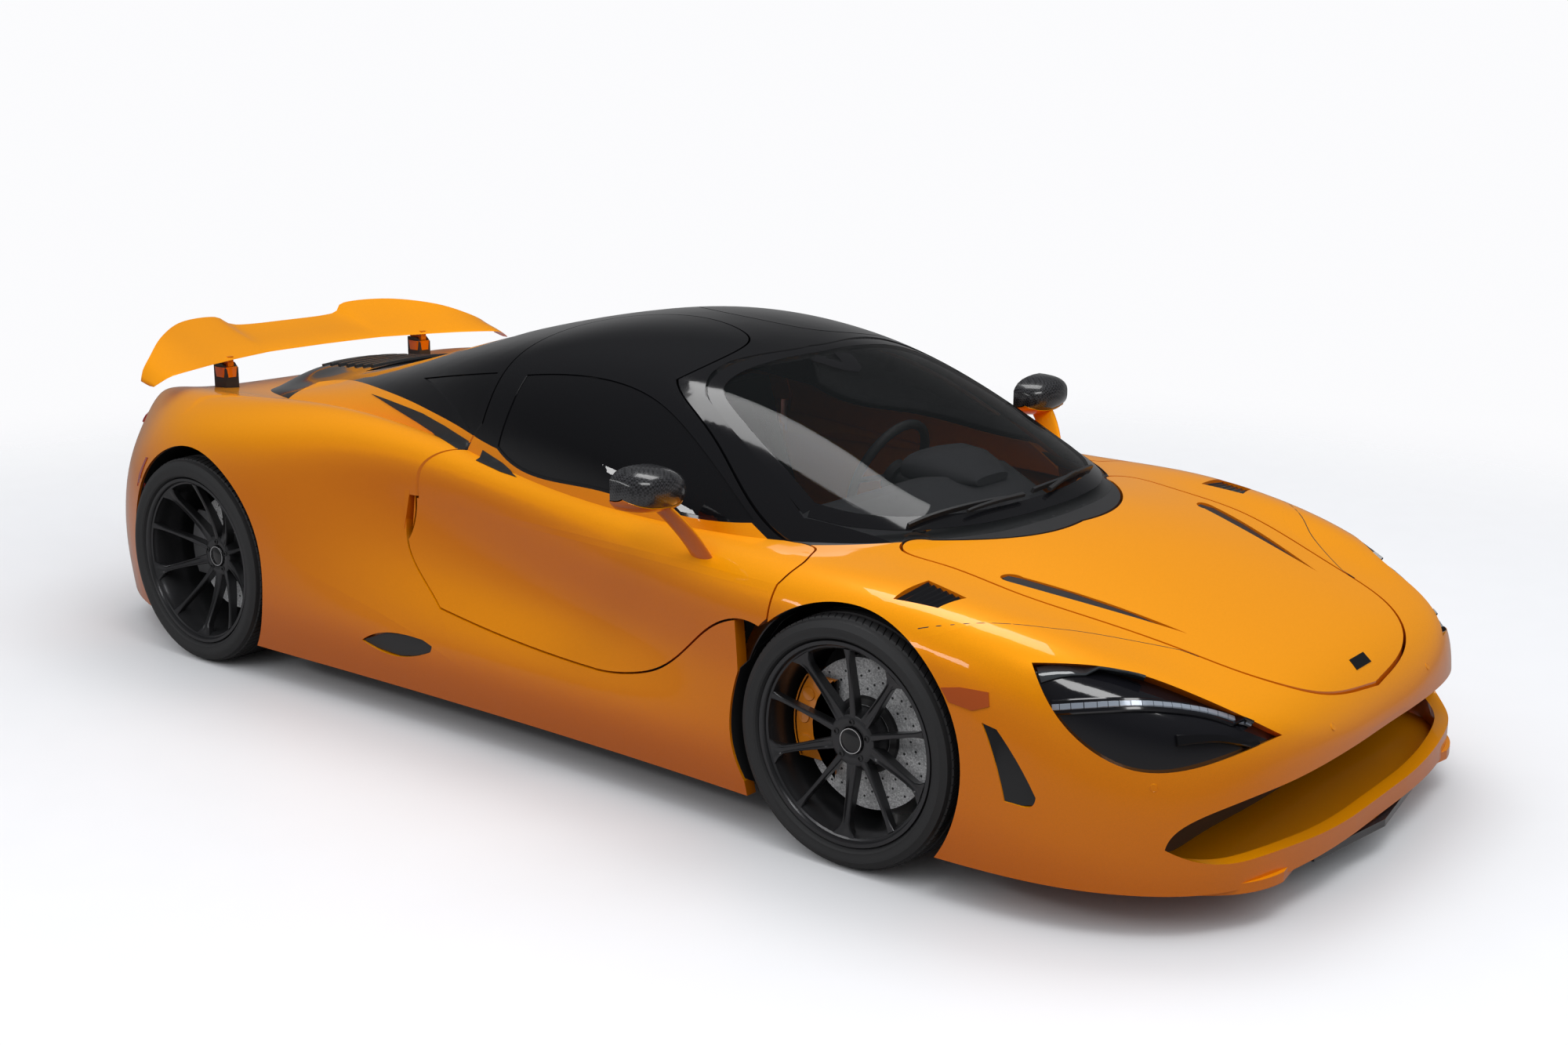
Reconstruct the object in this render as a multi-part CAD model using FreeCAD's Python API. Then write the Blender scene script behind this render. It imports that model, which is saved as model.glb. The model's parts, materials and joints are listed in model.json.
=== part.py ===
"""Mid-engine two-seat supercar with upswinging doors, built as separate panels, glass, cabin and running gear.

Frame: +X forward, +Y to the car's left, +Z up, origin on the ground under the middle of the car. Millimetres.
"""
import FreeCAD, Part
import math
import os

V = FreeCAD.Vector
doc = FreeCAD.newDocument("supercar")

# Driving dimensions
SIZES = {
    "overall_length": 4543,
    "front_overhang": 1021,
    "wheelbase": 2670,
    "half_width": 965,
    "roof_height": 1196,
    "ground_clearance": 112,
    "front_tyre_radius": 327,
    "rear_tyre_radius": 345,
    "front_tyre_width": 245,
    "rear_tyre_width": 305,
    "front_half_track": 840,
    "rear_half_track": 814.5,
    "front_rim_radius": 259,
    "rear_rim_radius": 271.5,
    "front_disc_radius": 197,
    "rear_disc_radius": 190,
    "panel_thickness": 38,
    "door_thickness": 85,
    "shut_gap": 5,
}
sheet = doc.addObject("Spreadsheet::Sheet", "Sizes")
for row, (name, value) in enumerate(SIZES.items(), start=1):
    sheet.set("A%d" % row, name)
    sheet.set("B%d" % row, str(value))
    sheet.setAlias("B%d" % row, name)
doc.recompute()


def size(name):
    """A driving dimension, read from the sheet."""
    return float(getattr(sheet, name))


NOSE_X = size("overall_length") / 2
TAIL_X = -NOSE_X
FRONT_X = NOSE_X - size("front_overhang")
REAR_X = FRONT_X - size("wheelbase")
W = size("half_width")
ROOF_Z = size("roof_height")
FLOOR_Z = size("ground_clearance")
SKIN = size("panel_thickness")
GAP = size("shut_gap")


def clamped_knots(count, degree=3):
    """Knots and multiplicities of a clamped uniform B-spline with that many poles."""
    spans = count - degree
    knots = [i / spans for i in range(spans + 1)]
    mults = [degree + 1] + [1] * (spans - 1) + [degree + 1]
    return knots, mults


def pole_surface(rows):
    """Smooth B-spline surface whose control net is rows of points."""
    u_knots, u_mults = clamped_knots(len(rows))
    v_knots, v_mults = clamped_knots(len(rows[0]))
    surface = Part.BSplineSurface()
    surface.buildFromPolesMultsKnots(rows, u_mults, v_mults, u_knots, v_knots, False, False, 3, 3)
    return surface


# Lower body: control lines that run from the nose to the tail, one (y, z) pair for each station
BODY_STATIONS = [
    FRONT_X + 1008, FRONT_X + 1006, FRONT_X + 975, FRONT_X + 900, FRONT_X + 780, FRONT_X + 620,
    FRONT_X + 430, FRONT_X + 220, FRONT_X, FRONT_X - 220, FRONT_X - 480,
    FRONT_X - 850, REAR_X + 1400, REAR_X + 1000, REAR_X + 640,
    REAR_X + 330, REAR_X, REAR_X - 280, REAR_X - 480, REAR_X - 640, REAR_X - 740, REAR_X - 770, REAR_X - 772,
]
BODY_LINES = {
    "centre": [(0, z) for z in (
        370, 400, 455, 520, 566, 614, 670, 722, 762, 775, 770, 765, 760, 760, 765, 775, 790, 800, 800, 790, 760, 700, 660)],
    "bonnet": [(90, 370), (140, 400), (220, 455), (290, 520), (310, 566), (320, 613), (330, 667), (340, 716), (350, 754),
               (360, 768), (370, 766), (370, 762), (370, 757), (370, 760), (370, 770), (370, 785), (370, 800), (370, 805),
               (370, 802), (360, 790), (330, 760), (300, 700), (280, 660)],
    "valley": [(130, 365), (230, 395), (390, 450), (500, 512), (560, 556), (590, 602), (610, 652), (620, 698), (630, 730),
               (640, 745), (650, 750), (650, 752), (650, 755), (640, 765), (620, 790), (600, 815), (590, 830), (585, 832),
               (570, 825), (540, 805), (480, 765), (430, 700), (400, 660)],
    "crown": [(150, 350), (290, 380), (480, 438), (620, 505), (700, 560), (745, 622), (775, 675), (790, 712), (800, 735),
              (800, 740), (790, 750), (775, 775), (760, 818), (740, 886), (725, 932), (735, 930), (745, 895), (735, 868),
              (690, 850), (620, 820), (550, 775), (500, 705), (470, 660)],
    "shoulder": [(160, 320), (320, 350), (550, 400), (690, 450), (780, 510), (845, 590), (885, 650), (905, 695), (915, 722),
                 (905, 722), (885, 722), (868, 738), (855, 772), (858, 822), (885, 850), (925, 830), (940, 795), (890, 765),
                 (780, 745), (690, 720), (620, 690), (570, 650), (540, 630)],
    "flank": [(165, 280), (330, 300), (575, 330), (720, 370), (820, 420), (895, 490), (940, 560), (965, 610), (975, 640),
              (968, 640), (945, 630), (893, 625), (848, 640), (838, 680), (895, 700), (970, 680), (985, 650), (955, 620),
              (865, 600), (770, 580), (690, 560), (630, 540), (590, 530)],
    "waist": [(165, 230), (330, 240), (580, 260), (735, 290), (840, 320), (915, 370), (955, 420), (975, 460), (978, 480),
              (955, 470), (920, 455), (862, 450), (842, 465), (866, 490), (925, 500), (975, 480), (985, 460), (960, 440),
              (890, 430), (800, 420), (725, 420), (660, 420), (620, 420)],
    "sill": [(165, 170), (330, 170), (585, 175), (745, 190), (850, 210), (930, 240), (965, 280), (978, 300), (978, 300),
             (968, 290), (958, 285), (955, 290), (957, 298), (960, 300), (968, 300), (978, 300), (980, 290), (960, 280),
             (890, 280), (800, 280), (730, 280), (670, 280), (630, 280)],
    "skirt": [(165, 110), (330, 105), (585, 105), (745, 115), (850, 125), (930, 150), (965, 170), (975, 180), (972, 180),
              (962, 180), (950, 180), (940, 185), (940, 190), (945, 190), (955, 190), (965, 190), (965, 190), (945, 190),
              (875, 190), (790, 190), (720, 190), (660, 190), (620, 190)],
    "foot": [(160, 50)] + [(325, 50), (575, 50), (735, 50), (840, 50), (915, 50), (945, 50), (950, 50), (945, 50), (930, 50),
             (915, 50), (905, 50), (905, 50), (910, 50), (920, 50), (935, 50), (935, 50), (910, 50), (850, 50), (770, 50),
             (700, 50), (640, 50), (600, 50)],
}


def net_rows(stations, lines):
    """Full-width rows of poles, from the right foot over the centre to the left foot."""
    rows = []
    for i, x in enumerate(stations):
        half = [V(x, line[i][0], line[i][1]) for line in lines.values()]
        right = [V(p.x, -p.y, p.z) for p in reversed(half)]
        rows.append(right + half[1:])
    return rows


body_rows = net_rows(BODY_STATIONS, BODY_LINES)
body_surface = pole_surface(body_rows)

CANOPY_STATIONS = [
    1375, 1373, 1325, 1180, 980, 800, 600, 400, 200, 0, -200, -450, -750, -1050, -1350, -1600, -1800, -1850, -1855]
CANOPY_LINES = {
    "crest": [(0, z) for z in (
        640, 690, 750, 815, 902, 990, 1075, 1140, 1180, 1200, 1196, 1150, 1075, 985, 915, 893, 885, 790, 740)],
    "spine": [(60, 640), (90, 680), (140, 742), (190, 812), (215, 897), (235, 985), (250, 1070), (255, 1135), (255, 1175),
              (255, 1194), (255, 1190), (250, 1143), (240, 1067), (230, 978), (220, 907), (200, 886), (180, 878),
              (170, 785), (160, 740)],
    "rail": [(90, 640), (150, 678), (260, 732), (370, 795), (430, 870), (470, 950), (500, 1030), (510, 1095), (510, 1135),
             (505, 1155), (495, 1150), (475, 1106), (440, 1035), (400, 955), (370, 885), (340, 842), (310, 815),
             (280, 770), (260, 740)],
    "cant": [(110, 635), (190, 668), (340, 705), (500, 755), (585, 820), (630, 890), (655, 960), (665, 1020), (665, 1058),
             (655, 1078), (640, 1075), (610, 1040), (560, 980), (510, 915), (460, 862), (420, 828), (380, 805),
             (350, 770), (320, 740)],
    "window": [(120, 620), (215, 645), (400, 665), (600, 700), (690, 750), (735, 800), (755, 855), (760, 900), (755, 930),
               (745, 945), (730, 950), (700, 940), (650, 905), (590, 865), (530, 830), (480, 805), (440, 790),
               (400, 760), (360, 720)],
    "belt": [(130, 600), (235, 615), (440, 625), (660, 645), (755, 680), (795, 715), (810, 755), (815, 790), (812, 810),
             (805, 825), (790, 830), (760, 825), (710, 805), (650, 780), (590, 760), (540, 745), (490, 735),
             (440, 715), (400, 690)],
    "root": [(140, 560), (250, 560)] + [(470, 560), (700, 560), (790, 560), (825, 560), (840, 560), (845, 560), (845, 560),
             (840, 560), (825, 560), (795, 560), (745, 560), (690, 560), (630, 560), (580, 560), (530, 560),
             (480, 560), (440, 560)],
}
canopy_rows = net_rows(CANOPY_STATIONS, CANOPY_LINES)
canopy_surface = pole_surface(canopy_rows)


def offset_rows(rows, depth):
    """Poles moved inwards along the surface's normals, each at the parameter where its pole acts."""
    surface = pole_surface(rows)
    u_mid = greville(len(rows))
    v_mid = greville(len(rows[0]))
    moved = []
    for i, row in enumerate(rows):
        new_row = []
        for j, pole in enumerate(row):
            normal = surface.normal(u_mid[i], v_mid[j])
            if normal.dot(pole - V(pole.x * 0.9, 0, 250)) < 0:
                normal = normal * -1
            new_row.append(pole - normal * depth)
        moved.append(new_row)
    for i, sign in ((0, -1), (-1, 1)):
        for j, pole in enumerate(moved[i]):
            moved[i][j] = V(rows[i][j].x + sign * depth, pole.y, pole.z)
    foot_drop = 20
    for row, old in zip(moved, rows):
        for j in (0, -1):
            row[j] = V(row[j].x, row[j].y, old[j].z - foot_drop)
    return moved


def greville(count, degree=3):
    """Surface parameters at which the poles of a clamped uniform B-spline act."""
    spans = count - degree
    knots = [0] * degree + [i / spans for i in range(spans + 1)] + [1] * degree
    return [sum(knots[i + 1:i + 1 + degree]) / degree for i in range(count)]


def closed_solid(rows):
    """Solid under a pole surface, closed by its flat ends and a flat bottom."""
    skin = pole_surface(rows).toShape()
    foot_right = V(rows[0][0])
    foot_left = V(rows[0][-1])
    tail_right = V(rows[-1][0])
    tail_left = V(rows[-1][-1])
    nose_line = Part.makeLine(foot_right, foot_left)
    tail_line = Part.makeLine(tail_right, tail_left)
    edges = {}
    for edge in skin.Edges:
        middle = edge.valueAt((edge.FirstParameter + edge.LastParameter) / 2)
        ends = [v.Point for v in edge.Vertexes]
        if all(abs(p.x - foot_right.x) < 0.01 for p in ends):
            edges["nose"] = edge
        elif all(abs(p.x - tail_right.x) < 0.01 for p in ends):
            edges["tail"] = edge
        elif middle.y < 0:
            edges["right"] = edge
        else:
            edges["left"] = edge
    caps = [
        Part.Face(Part.Wire(Part.__sortEdges__([edges["nose"], nose_line]))),
        Part.Face(Part.Wire(Part.__sortEdges__([edges["tail"], tail_line]))),
        Part.Face(Part.Wire(Part.__sortEdges__([edges["right"], nose_line, edges["left"], tail_line]))),
    ]
    shell = Part.makeShell([skin] + caps)
    shell.sewShape()
    solid = Part.Solid(shell)
    solid.fix(0.01, 0.01, 0.01)
    return solid


# Shape helpers
def wire_of(runs, place, closed=True):
    """Wire through runs of points: two points make a line, more a smooth curve; place maps a pair to a point."""
    edges = []
    for run in runs:
        points = [place(p) for p in run]
        if len(points) == 2:
            edges.append(Part.makeLine(points[0], points[1]))
        else:
            curve = Part.BSplineCurve()
            curve.interpolate(points)
            edges.append(curve.toShape())
    if closed:
        first = place(runs[0][0])
        last = place(runs[-1][-1])
        if first.distanceToPoint(last) > 0.01:
            edges.append(Part.makeLine(last, first))
    return Part.Wire(edges)


def unit(a, b):
    """Unit vector from one pair to another."""
    dx = b[0] - a[0]
    dy = b[1] - a[1]
    length = math.hypot(dx, dy)
    return dx / length, dy / length


def grown(runs, distance):
    """A closed outline moved outwards by a distance, run by run, with mitred corners."""
    if not distance:
        return runs
    corners = [run[0] for run in runs]
    area = sum(a[0] * b[1] - b[0] * a[1] for a, b in zip(corners, corners[1:] + corners[:1]))
    side = math.copysign(distance, area)
    result = []
    for number, run in enumerate(runs):
        before = runs[number - 1]
        after = runs[(number + 1) % len(runs)]
        padded = [before[-2]] + run + [after[1]]
        moved = []
        for i in range(1, len(padded) - 1):
            u = unit(padded[i - 1], padded[i])
            v = unit(padded[i], padded[i + 1])
            share = side / (1 + u[0] * v[0] + u[1] * v[1])
            moved.append((padded[i][0] + (u[1] + v[1]) * share, padded[i][1] - (u[0] + v[0]) * share))
        result.append(moved)
    return result


def prism(runs, axis, low, high, grow=0):
    """Solid between two planes across one axis, with an outline given as runs of pairs, grown outwards."""
    places = {
        "X": lambda p: V(low, p[0], p[1]),
        "Y": lambda p: V(p[0], low, p[1]),
        "Z": lambda p: V(p[0], p[1], low),
    }
    directions = {"X": V(1, 0, 0), "Y": V(0, 1, 0), "Z": V(0, 0, 1)}
    face = Part.Face(wire_of(grown(runs, grow), places[axis]))
    return face.extrude(directions[axis] * (high - low))


def slab(x0, x1, y0, y1, z0, z1):
    """Box between two corners."""
    return Part.makeBox(x1 - x0, y1 - y0, z1 - z0, V(x0, y0, z0))


def rod(start, end, radius):
    """Round bar between two points."""
    return Part.makeCylinder(radius, (end - start).Length, start, end - start)


def tube(start, end, radius, bore):
    """Round tube between two points."""
    return rod(start, end, radius).cut(rod(start, end, bore))


def mirrored(shape):
    """The same piece on the car's left."""
    return shape.mirror(V(0, 0, 0), V(0, 1, 0))


def both_sides(shape):
    """A symmetric cutter: the right piece with its mirror image."""
    return Part.makeCompound([shape, mirrored(shape)])


def largest(shape, count=1):
    """The biggest solids of a result, as one shape."""
    solids = sorted(shape.Solids, key=lambda s: -s.Volume)[:count]
    return solids[0] if len(solids) == 1 else Part.makeCompound(solids)


def parted(shape, zone):
    """A piece as several solids, face to face along the zone's sides."""
    return Part.makeCompound(shape.cut(zone).Solids + shape.common(zone).Solids)


def symmetric(right_run):
    """A plan outline from its right half: runs in y < 0 from the centre line back to it, then mirrored."""
    left = [[(x, -y) for x, y in reversed(run)] for run in reversed(right_run)]
    return right_run + left


# Body and canopy as closed solids, with the inner faces of the panels
body_outer = closed_solid(body_rows)
body_inner = closed_solid(offset_rows(body_rows, SKIN))
body_door_inner = closed_solid(offset_rows(body_rows, size("door_thickness")))
canopy_outer = closed_solid(canopy_rows)
canopy_inner = closed_solid(offset_rows(canopy_rows, SKIN))
GLASS_INSET = 3
GLASS_THICKNESS = 6
glass_outer = closed_solid(offset_rows(canopy_rows, GLASS_INSET))
glass_inner = closed_solid(offset_rows(canopy_rows, GLASS_INSET + GLASS_THICKNESS))

# Wheel arches: open over the tyres and inwards as far as the tyres swing
ARCH_INNER_Y = 555
FRONT_ARCH = 358
REAR_ARCH = 383
LINER = 4
FRONT_WHEEL = V(FRONT_X, -size("front_half_track"), size("front_tyre_radius"))
REAR_WHEEL = V(REAR_X, -size("rear_half_track"), size("rear_tyre_radius"))


def arch_cutter(wheel, radius):
    """Everything within an arch on the right: a round bore along Y, open to the ground below."""
    bore = Part.makeCylinder(radius, 700, V(wheel.x, -ARCH_INNER_Y - 700, wheel.z), V(0, 1, 0))
    return bore


arches = Part.makeCompound([arch_cutter(FRONT_WHEEL, FRONT_ARCH), arch_cutter(REAR_WHEEL, REAR_ARCH)])
arches = Part.makeCompound([arches, mirrored(arches)])
under_cut = slab(TAIL_X - 100, NOSE_X + 100, -1200, 1200, 0, FLOOR_Z)

body_shell = body_outer.cut(body_inner).cut(Part.makeCompound([canopy_inner, under_cut])).cut(arches)
door_shell = body_outer.cut(body_door_inner).cut(canopy_inner)
upper_shell = canopy_outer.cut(canopy_inner).cut(body_outer)

# Door: below the shoulder its edges run straight in, above it straight down; where the opening door
# sweeps forwards its edge leans back with depth
DOOR_LOW_EDGE = [
    [(1010, 574), (870, 576), (813, 547), (618, 391), (516, 356), (392, 340)],
    [(392, 340), (198, 345), (-262, 390)],
    [(-262, 390), (-330, 440), (-441, 562), (-449, 630), (-452, 690)],
    [(-452, 690), (1018, 690)],
    [(1018, 690), (1010, 574)],
]
DOOR_TOP_EDGE = [
    [(1024, -1100), (1024, -913)],
    [(1024, -913), (1030, -850), (1022, -780), (985, -738), (940, -722)],
    [(940, -722), (830, -730), (665, -684), (461, -590), (352, -532)],
    [(352, -532), (348, -400), (320, -240), (220, -105), (83, -68), (-80, -95), (-200, -185), (-250, -270),
     (-266, -340)],
    [(-266, -340), (-273, -492), (-245, -735)],
    [(-245, -735), (-300, -775), (-390, -846), (-452, -875)],
    [(-452, -875), (-452, -1100)],
    [(-452, -1100), (1024, -1100)],
]
DOOR_LOW_IN_Y = -800
DOOR_SPLIT_Z = 690
DOOR_TOP_FLOOR = 672
DOOR_CEILING = 1300
CORNER_LEAN = 0.7
SHOULDER_Y = -913
SHOULDER_Z = 699
CORNER_RISE = 0.36
REAR_LEAN = 0.06
HEADER_LEAN = 0.45
HEADER_Z = 1120


def door_plug(grow):
    """The right door's zone through the shells; grow widens it for the opening."""
    def ring(z):
        def place(p):
            lean = 0
            if p[0] > 1000:
                rise = min(max(p[1] - SHOULDER_Y, 0), 63) * CORNER_RISE
                lean = CORNER_LEAN * (SHOULDER_Z + rise - z)
            elif p[0] < -440:
                lean = REAR_LEAN * (z - DOOR_SPLIT_Z)
            elif p[0] > 310 and p[0] < 420 and p[1] > -560:
                lean = HEADER_LEAN * (HEADER_Z - z)
            return V(p[0] - lean, p[1], z)
        return wire_of(grown(DOOR_TOP_EDGE, grow), place)
    low = prism(DOOR_LOW_EDGE, "Y", -1100, DOOR_LOW_IN_Y + grow, grow)
    top = Part.makeLoft([ring(DOOR_TOP_FLOOR - grow), ring(DOOR_CEILING)], True, True)
    return [low, top]


# Panels of the body: each is the shell within its own outline
BONNET_EDGE = symmetric([
    [(1362, 0), (1335, -260), (1187, -478)],
    [(1187, -478), (1143, -532), (1168, -585), (1300, -600), (1529, -598), (1717, -545), (1900, -480), (2060, -420),
     (2151, -331), (2200, -180), (2217, 0)],
])
COWL_EDGE = symmetric([
    [(700, 0), (700, -760)],
    [(700, -760), (860, -775), (1030, -665), (1187, -478), (1335, -260), (1362, 0)],
])
BUMPER_EDGE = symmetric([
    [(1900, 0), (1900, -480)],
    [(1900, -480), (1801, -535), (1645, -682), (1562, -862), (1443, -943)],
    [(1443, -943), (1443, -1100)],
    [(1443, -1100), (2400, -1100)],
    [(2400, -1100), (2400, 0)],
])
SILL_EDGE = [
    [(900, 600), (1010, 574)],
    [(1010, 574), (870, 576), (813, 547), (618, 391), (516, 356), (392, 340)],
    [(392, 340), (198, 345), (-262, 390)],
    [(-262, 390), (-150, 235)],
    [(-150, 235), (-518, 338), (-798, 397), (-1080, 490)],
    [(-1080, 490), (-1200, 490)],
    [(-1200, 490), (-1200, 0)],
    [(-1200, 0), (950, 0)],
    [(950, 0), (900, 600)],
]
TAIL_EDGE = symmetric([[(-1885, 0), (-1885, -1100)], [(-1885, -1100), (-2400, -1100)], [(-2400, -1100), (-2400, 0)]])
DECK_EDGE = symmetric([
    [(-350, 0), (-350, -640)],
    [(-350, -640), (-700, -600), (-1250, -600), (-1600, -585), (-1885, -560)],
    [(-1885, -560), (-1885, 0)],
])
BONNET_GAP = 7.6
GLASS_CORNER_GAP = 13
bonnet_zone = prism(BONNET_EDGE, "Z", 420, 900)
bonnet_opening = prism(BONNET_EDGE, "Z", 414, 900, BONNET_GAP)
cowl_zone = prism(COWL_EDGE, "Z", 560, 900)
bumper_zone = prism(BUMPER_EDGE, "Z", 0, 900)
right_half = slab(TAIL_X - 100, NOSE_X + 100, -1200, 0, 0, 1300)
sill_zone = prism(SILL_EDGE, "Y", -1100, -700)
tail_zone = prism(TAIL_EDGE, "Z", 0, 1000)
deck_zone = prism(DECK_EDGE, "Z", 600, 1000)

door_openings = door_plug(GAP + 1)
door_zones = door_plug(0)
door_opening = Part.makeCompound(door_openings)
door_room = Part.makeCompound(door_openings + [mirrored(z) for z in door_openings])

arch_room = Part.makeCylinder(FRONT_ARCH + LINER + GAP, 500, V(FRONT_X, -1000, FRONT_WHEEL.z), V(0, 1, 0))
bonnet_panel = largest(body_shell.common(bonnet_zone).cut(both_sides(arch_room)))
cowl_panel = largest(body_shell.common(cowl_zone).cut(bonnet_opening).cut(door_room))
rest_right = body_shell.common(right_half).cut(door_openings)
sill_panel = largest(rest_right.common(sill_zone))
rest_right = rest_right.cut(Part.makeCompound([bonnet_opening, cowl_zone, bumper_zone, sill_zone, tail_zone, deck_zone]))
fender_panel = max([s for s in rest_right.Solids if s.CenterOfMass.x > 500], key=lambda s: s.Volume)
quarter_panel = max([s for s in rest_right.Solids if s.CenterOfMass.x < -300], key=lambda s: s.Volume)
front_panel = body_shell.common(bumper_zone).cut(bonnet_opening)
tail_panel = largest(body_shell.common(tail_zone))
deck_panel = largest(body_shell.common(deck_zone).cut(canopy_outer))

# Canopy: windows cut, then split into roof and doors, with the glass set into the cut-outs
WINDSCREEN_EDGE = symmetric([
    [(1400, 0), (1400, -430)],
    [(1400, -430), (905, -668)],
    [(905, -668), (797, -640), (627, -600), (450, -535)],
    [(450, -535), (385, -420), (392, -180), (400, 0)],
])
DOOR_WINDOW_EDGE = [
    [(790, 788), (582, 785), (275, 812), (-84, 838), (-150, 868)],
    [(-150, 868), (-155, 1062)],
    [(-155, 1062), (26, 1080), (198, 1074), (352, 1040), (480, 985), (665, 875)],
    [(665, 875), (790, 788)],
]
QUARTER_WINDOW_EDGE = [
    [(-296, 893), (-400, 935), (-700, 985)],
    [(-700, 985), (-560, 1010), (-428, 1032), (-296, 1052)],
    [(-296, 1052), (-296, 893)],
]
REAR_WINDOW_EDGE = symmetric([
    [(-560, 0), (-560, -380)],
    [(-560, -380), (-1000, -330), (-1350, -270)],
    [(-1350, -270), (-1350, 0)],
])
# The canopy is black above this line and painted below it
COLOUR_LINE = [
    [(1020, 640), (900, 715), (790, 780)],
    [(790, 780), (582, 777), (275, 804), (-84, 830), (-150, 860)],
    [(-150, 860), (-258, 878), (-344, 894), (-489, 912), (-657, 924), (-848, 926), (-1050, 918), (-1500, 860)],
    [(-1500, 860), (-1500, 500)],
    [(-1500, 500), (1020, 500)],
    [(1020, 500), (1020, 640)],
]
painted_zone = prism(COLOUR_LINE, "Y", -1000, -150)
windscreen_zone = prism(WINDSCREEN_EDGE, "Z", 700, 1300)
door_window_zone = prism(DOOR_WINDOW_EDGE, "Y", -1000, -420)
quarter_window_zone = prism(QUARTER_WINDOW_EDGE, "Y", -1000, -420)
rear_window_zone = prism(REAR_WINDOW_EDGE, "Z", 800, 1300)

glass_sheet = glass_outer.cut(glass_inner).cut(body_outer)
windscreen_glass = largest(glass_sheet.common(windscreen_zone).cut(prism(BONNET_EDGE, "Z", 414, 900, GLASS_CORNER_GAP)))
rear_glass = largest(glass_sheet.common(rear_window_zone))
right_glass = glass_sheet.common(right_half)
door_glass = largest(right_glass.common(door_window_zone))
quarter_glass = largest(right_glass.common(quarter_window_zone))

window_zones = [windscreen_zone, rear_window_zone]
side_zones = [door_window_zone, quarter_window_zone]
roof_panel = upper_shell.cut(Part.makeCompound(window_zones + side_zones + [mirrored(z) for z in side_zones]))
roof_panel = roof_panel.cut(door_room)
buttress = largest(roof_panel.common(painted_zone).common(slab(-1500, -200, -1000, 0, 500, 1100)))
roof_panel = largest(roof_panel.cut(both_sides(painted_zone)))

bracket_room = slab(850, 1100, -862, -700, 640, 800)
corner_room = slab(985, 1100, -897, -700, 560, 800)
REAR_ROOM_EDGE = [
    [(-480, -874), (-452, -872), (-392, -842), (-300, -770), (-240, -730)],
    [(-240, -730), (-240, -600)],
    [(-240, -600), (-480, -600)],
    [(-480, -600), (-480, -874)],
]
rear_room = prism(REAR_ROOM_EDGE, "Z", 500, 700)
door_thick = door_shell.common(right_half).cut([bracket_room, corner_room, rear_room, arch_room])
door_skin = body_shell.common(right_half)
door_top = upper_shell.common(right_half).cut(door_window_zone)
door_bits = [door_thick.common(zone) for zone in door_zones]
door_bits += [door_skin.common(door_zones[1]), door_top.common(door_zones[1]).common(painted_zone)]
door_frame = largest(door_top.common(door_zones[1]).cut(painted_zone))
door_panel = largest(door_bits[0].multiFuse(door_bits[1:]))

# Mirror arm: a blade that grows out of the door's shoulder
MIRROR_ARM = [(745, -868, 680, 38, 13), (716, -903, 755, 40, 11), (644, -950, 846, 46, 15)]


def arm_ring(x, y, z, half_length, half_width):
    """Level oval of the mirror's arm."""
    oval = Part.Ellipse(V(x, y, z), half_length, half_width)
    return Part.Wire([oval.toShape()])


mirror_arm = Part.makeLoft([arm_ring(*ring) for ring in MIRROR_ARM], True, False)
door_panel = door_panel.fuse(mirror_arm)

# Door hinge: a hooked arm on the door reaches forwards round the fender's edge to a pin on a bracket
HINGE_AT = V(1072, -878, 683)
HINGE_AXIS = V(0.13, 0.955, 0.26).normalize()
HINGE_PIN = 6
HOOK_INNER = 57
HOOK_OUTER = 67
HOOK_WIDTH = 14
PLATE_Y = -832
PLATE_HALF = 6
RUNNING = 0.05


def hinge_disc(radius, width):
    """Round plate square to the door's hinge line."""
    return Part.makeCylinder(radius, width, HINGE_AT - HINGE_AXIS * (width / 2), HINGE_AXIS)


def hinge_wedge(first, last, reach=110):
    """Sector about the hinge line between two angles in side view, in degrees from forwards over up."""
    ends = [(HINGE_AT.x + reach * math.cos(math.radians(a)), HINGE_AT.z + reach * math.sin(math.radians(a)))
            for a in (first, (first + last) / 2, last)]
    corners = [(HINGE_AT.x, HINGE_AT.z)] + ends
    runs = [[a, b] for a, b in zip(corners, corners[1:] + corners[:1])]
    return prism(runs, "Y", HINGE_AT.y - 40, HINGE_AT.y + 40)


hook = hinge_disc(HOOK_OUTER, HOOK_WIDTH).cut(hinge_disc(HOOK_INNER, HOOK_WIDTH)).common(hinge_wedge(165, 237))
hook_arm = hinge_disc(HOOK_OUTER, HOOK_WIDTH).common(hinge_wedge(226, 237))
hinge_bore = Part.makeCylinder(HINGE_PIN + RUNNING, 60, HINGE_AT - HINGE_AXIS * 30, HINGE_AXIS)
hook_root = slab(955, 1016, HINGE_AT.y - 12, HINGE_AT.y, 664, 696)
door_panel = door_panel.multiFuse([hook, hook_arm, hook_root, hinge_disc(13, HOOK_WIDTH)])
door_panel = largest(door_panel.cut(hinge_bore))
hook_path = hinge_disc(HOOK_OUTER + GAP + 1, HOOK_WIDTH + 2 * GAP)
hook_path = hook_path.cut(hinge_disc(HOOK_INNER - GAP - 1, HOOK_WIDTH + 2 * GAP)).common(hinge_wedge(90, 260))
hook_room = hinge_disc(HOOK_OUTER + GAP, HOOK_WIDTH + 2 * GAP).common(slab(900, 1200, -1000, -700, 500, 702))
plate_room = slab(1040, 1112, -888, -820, 500, 708)
fender_panel = largest(fender_panel.cut(hook_path).cut(hook_room).cut(plate_room))
plate_reach = (PLATE_Y - HINGE_AT.y) / HINGE_AXIS.y
hinge_pin = rod(HINGE_AT - HINGE_AXIS * 9, HINGE_AT + HINGE_AXIS * plate_reach, HINGE_PIN)
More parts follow.
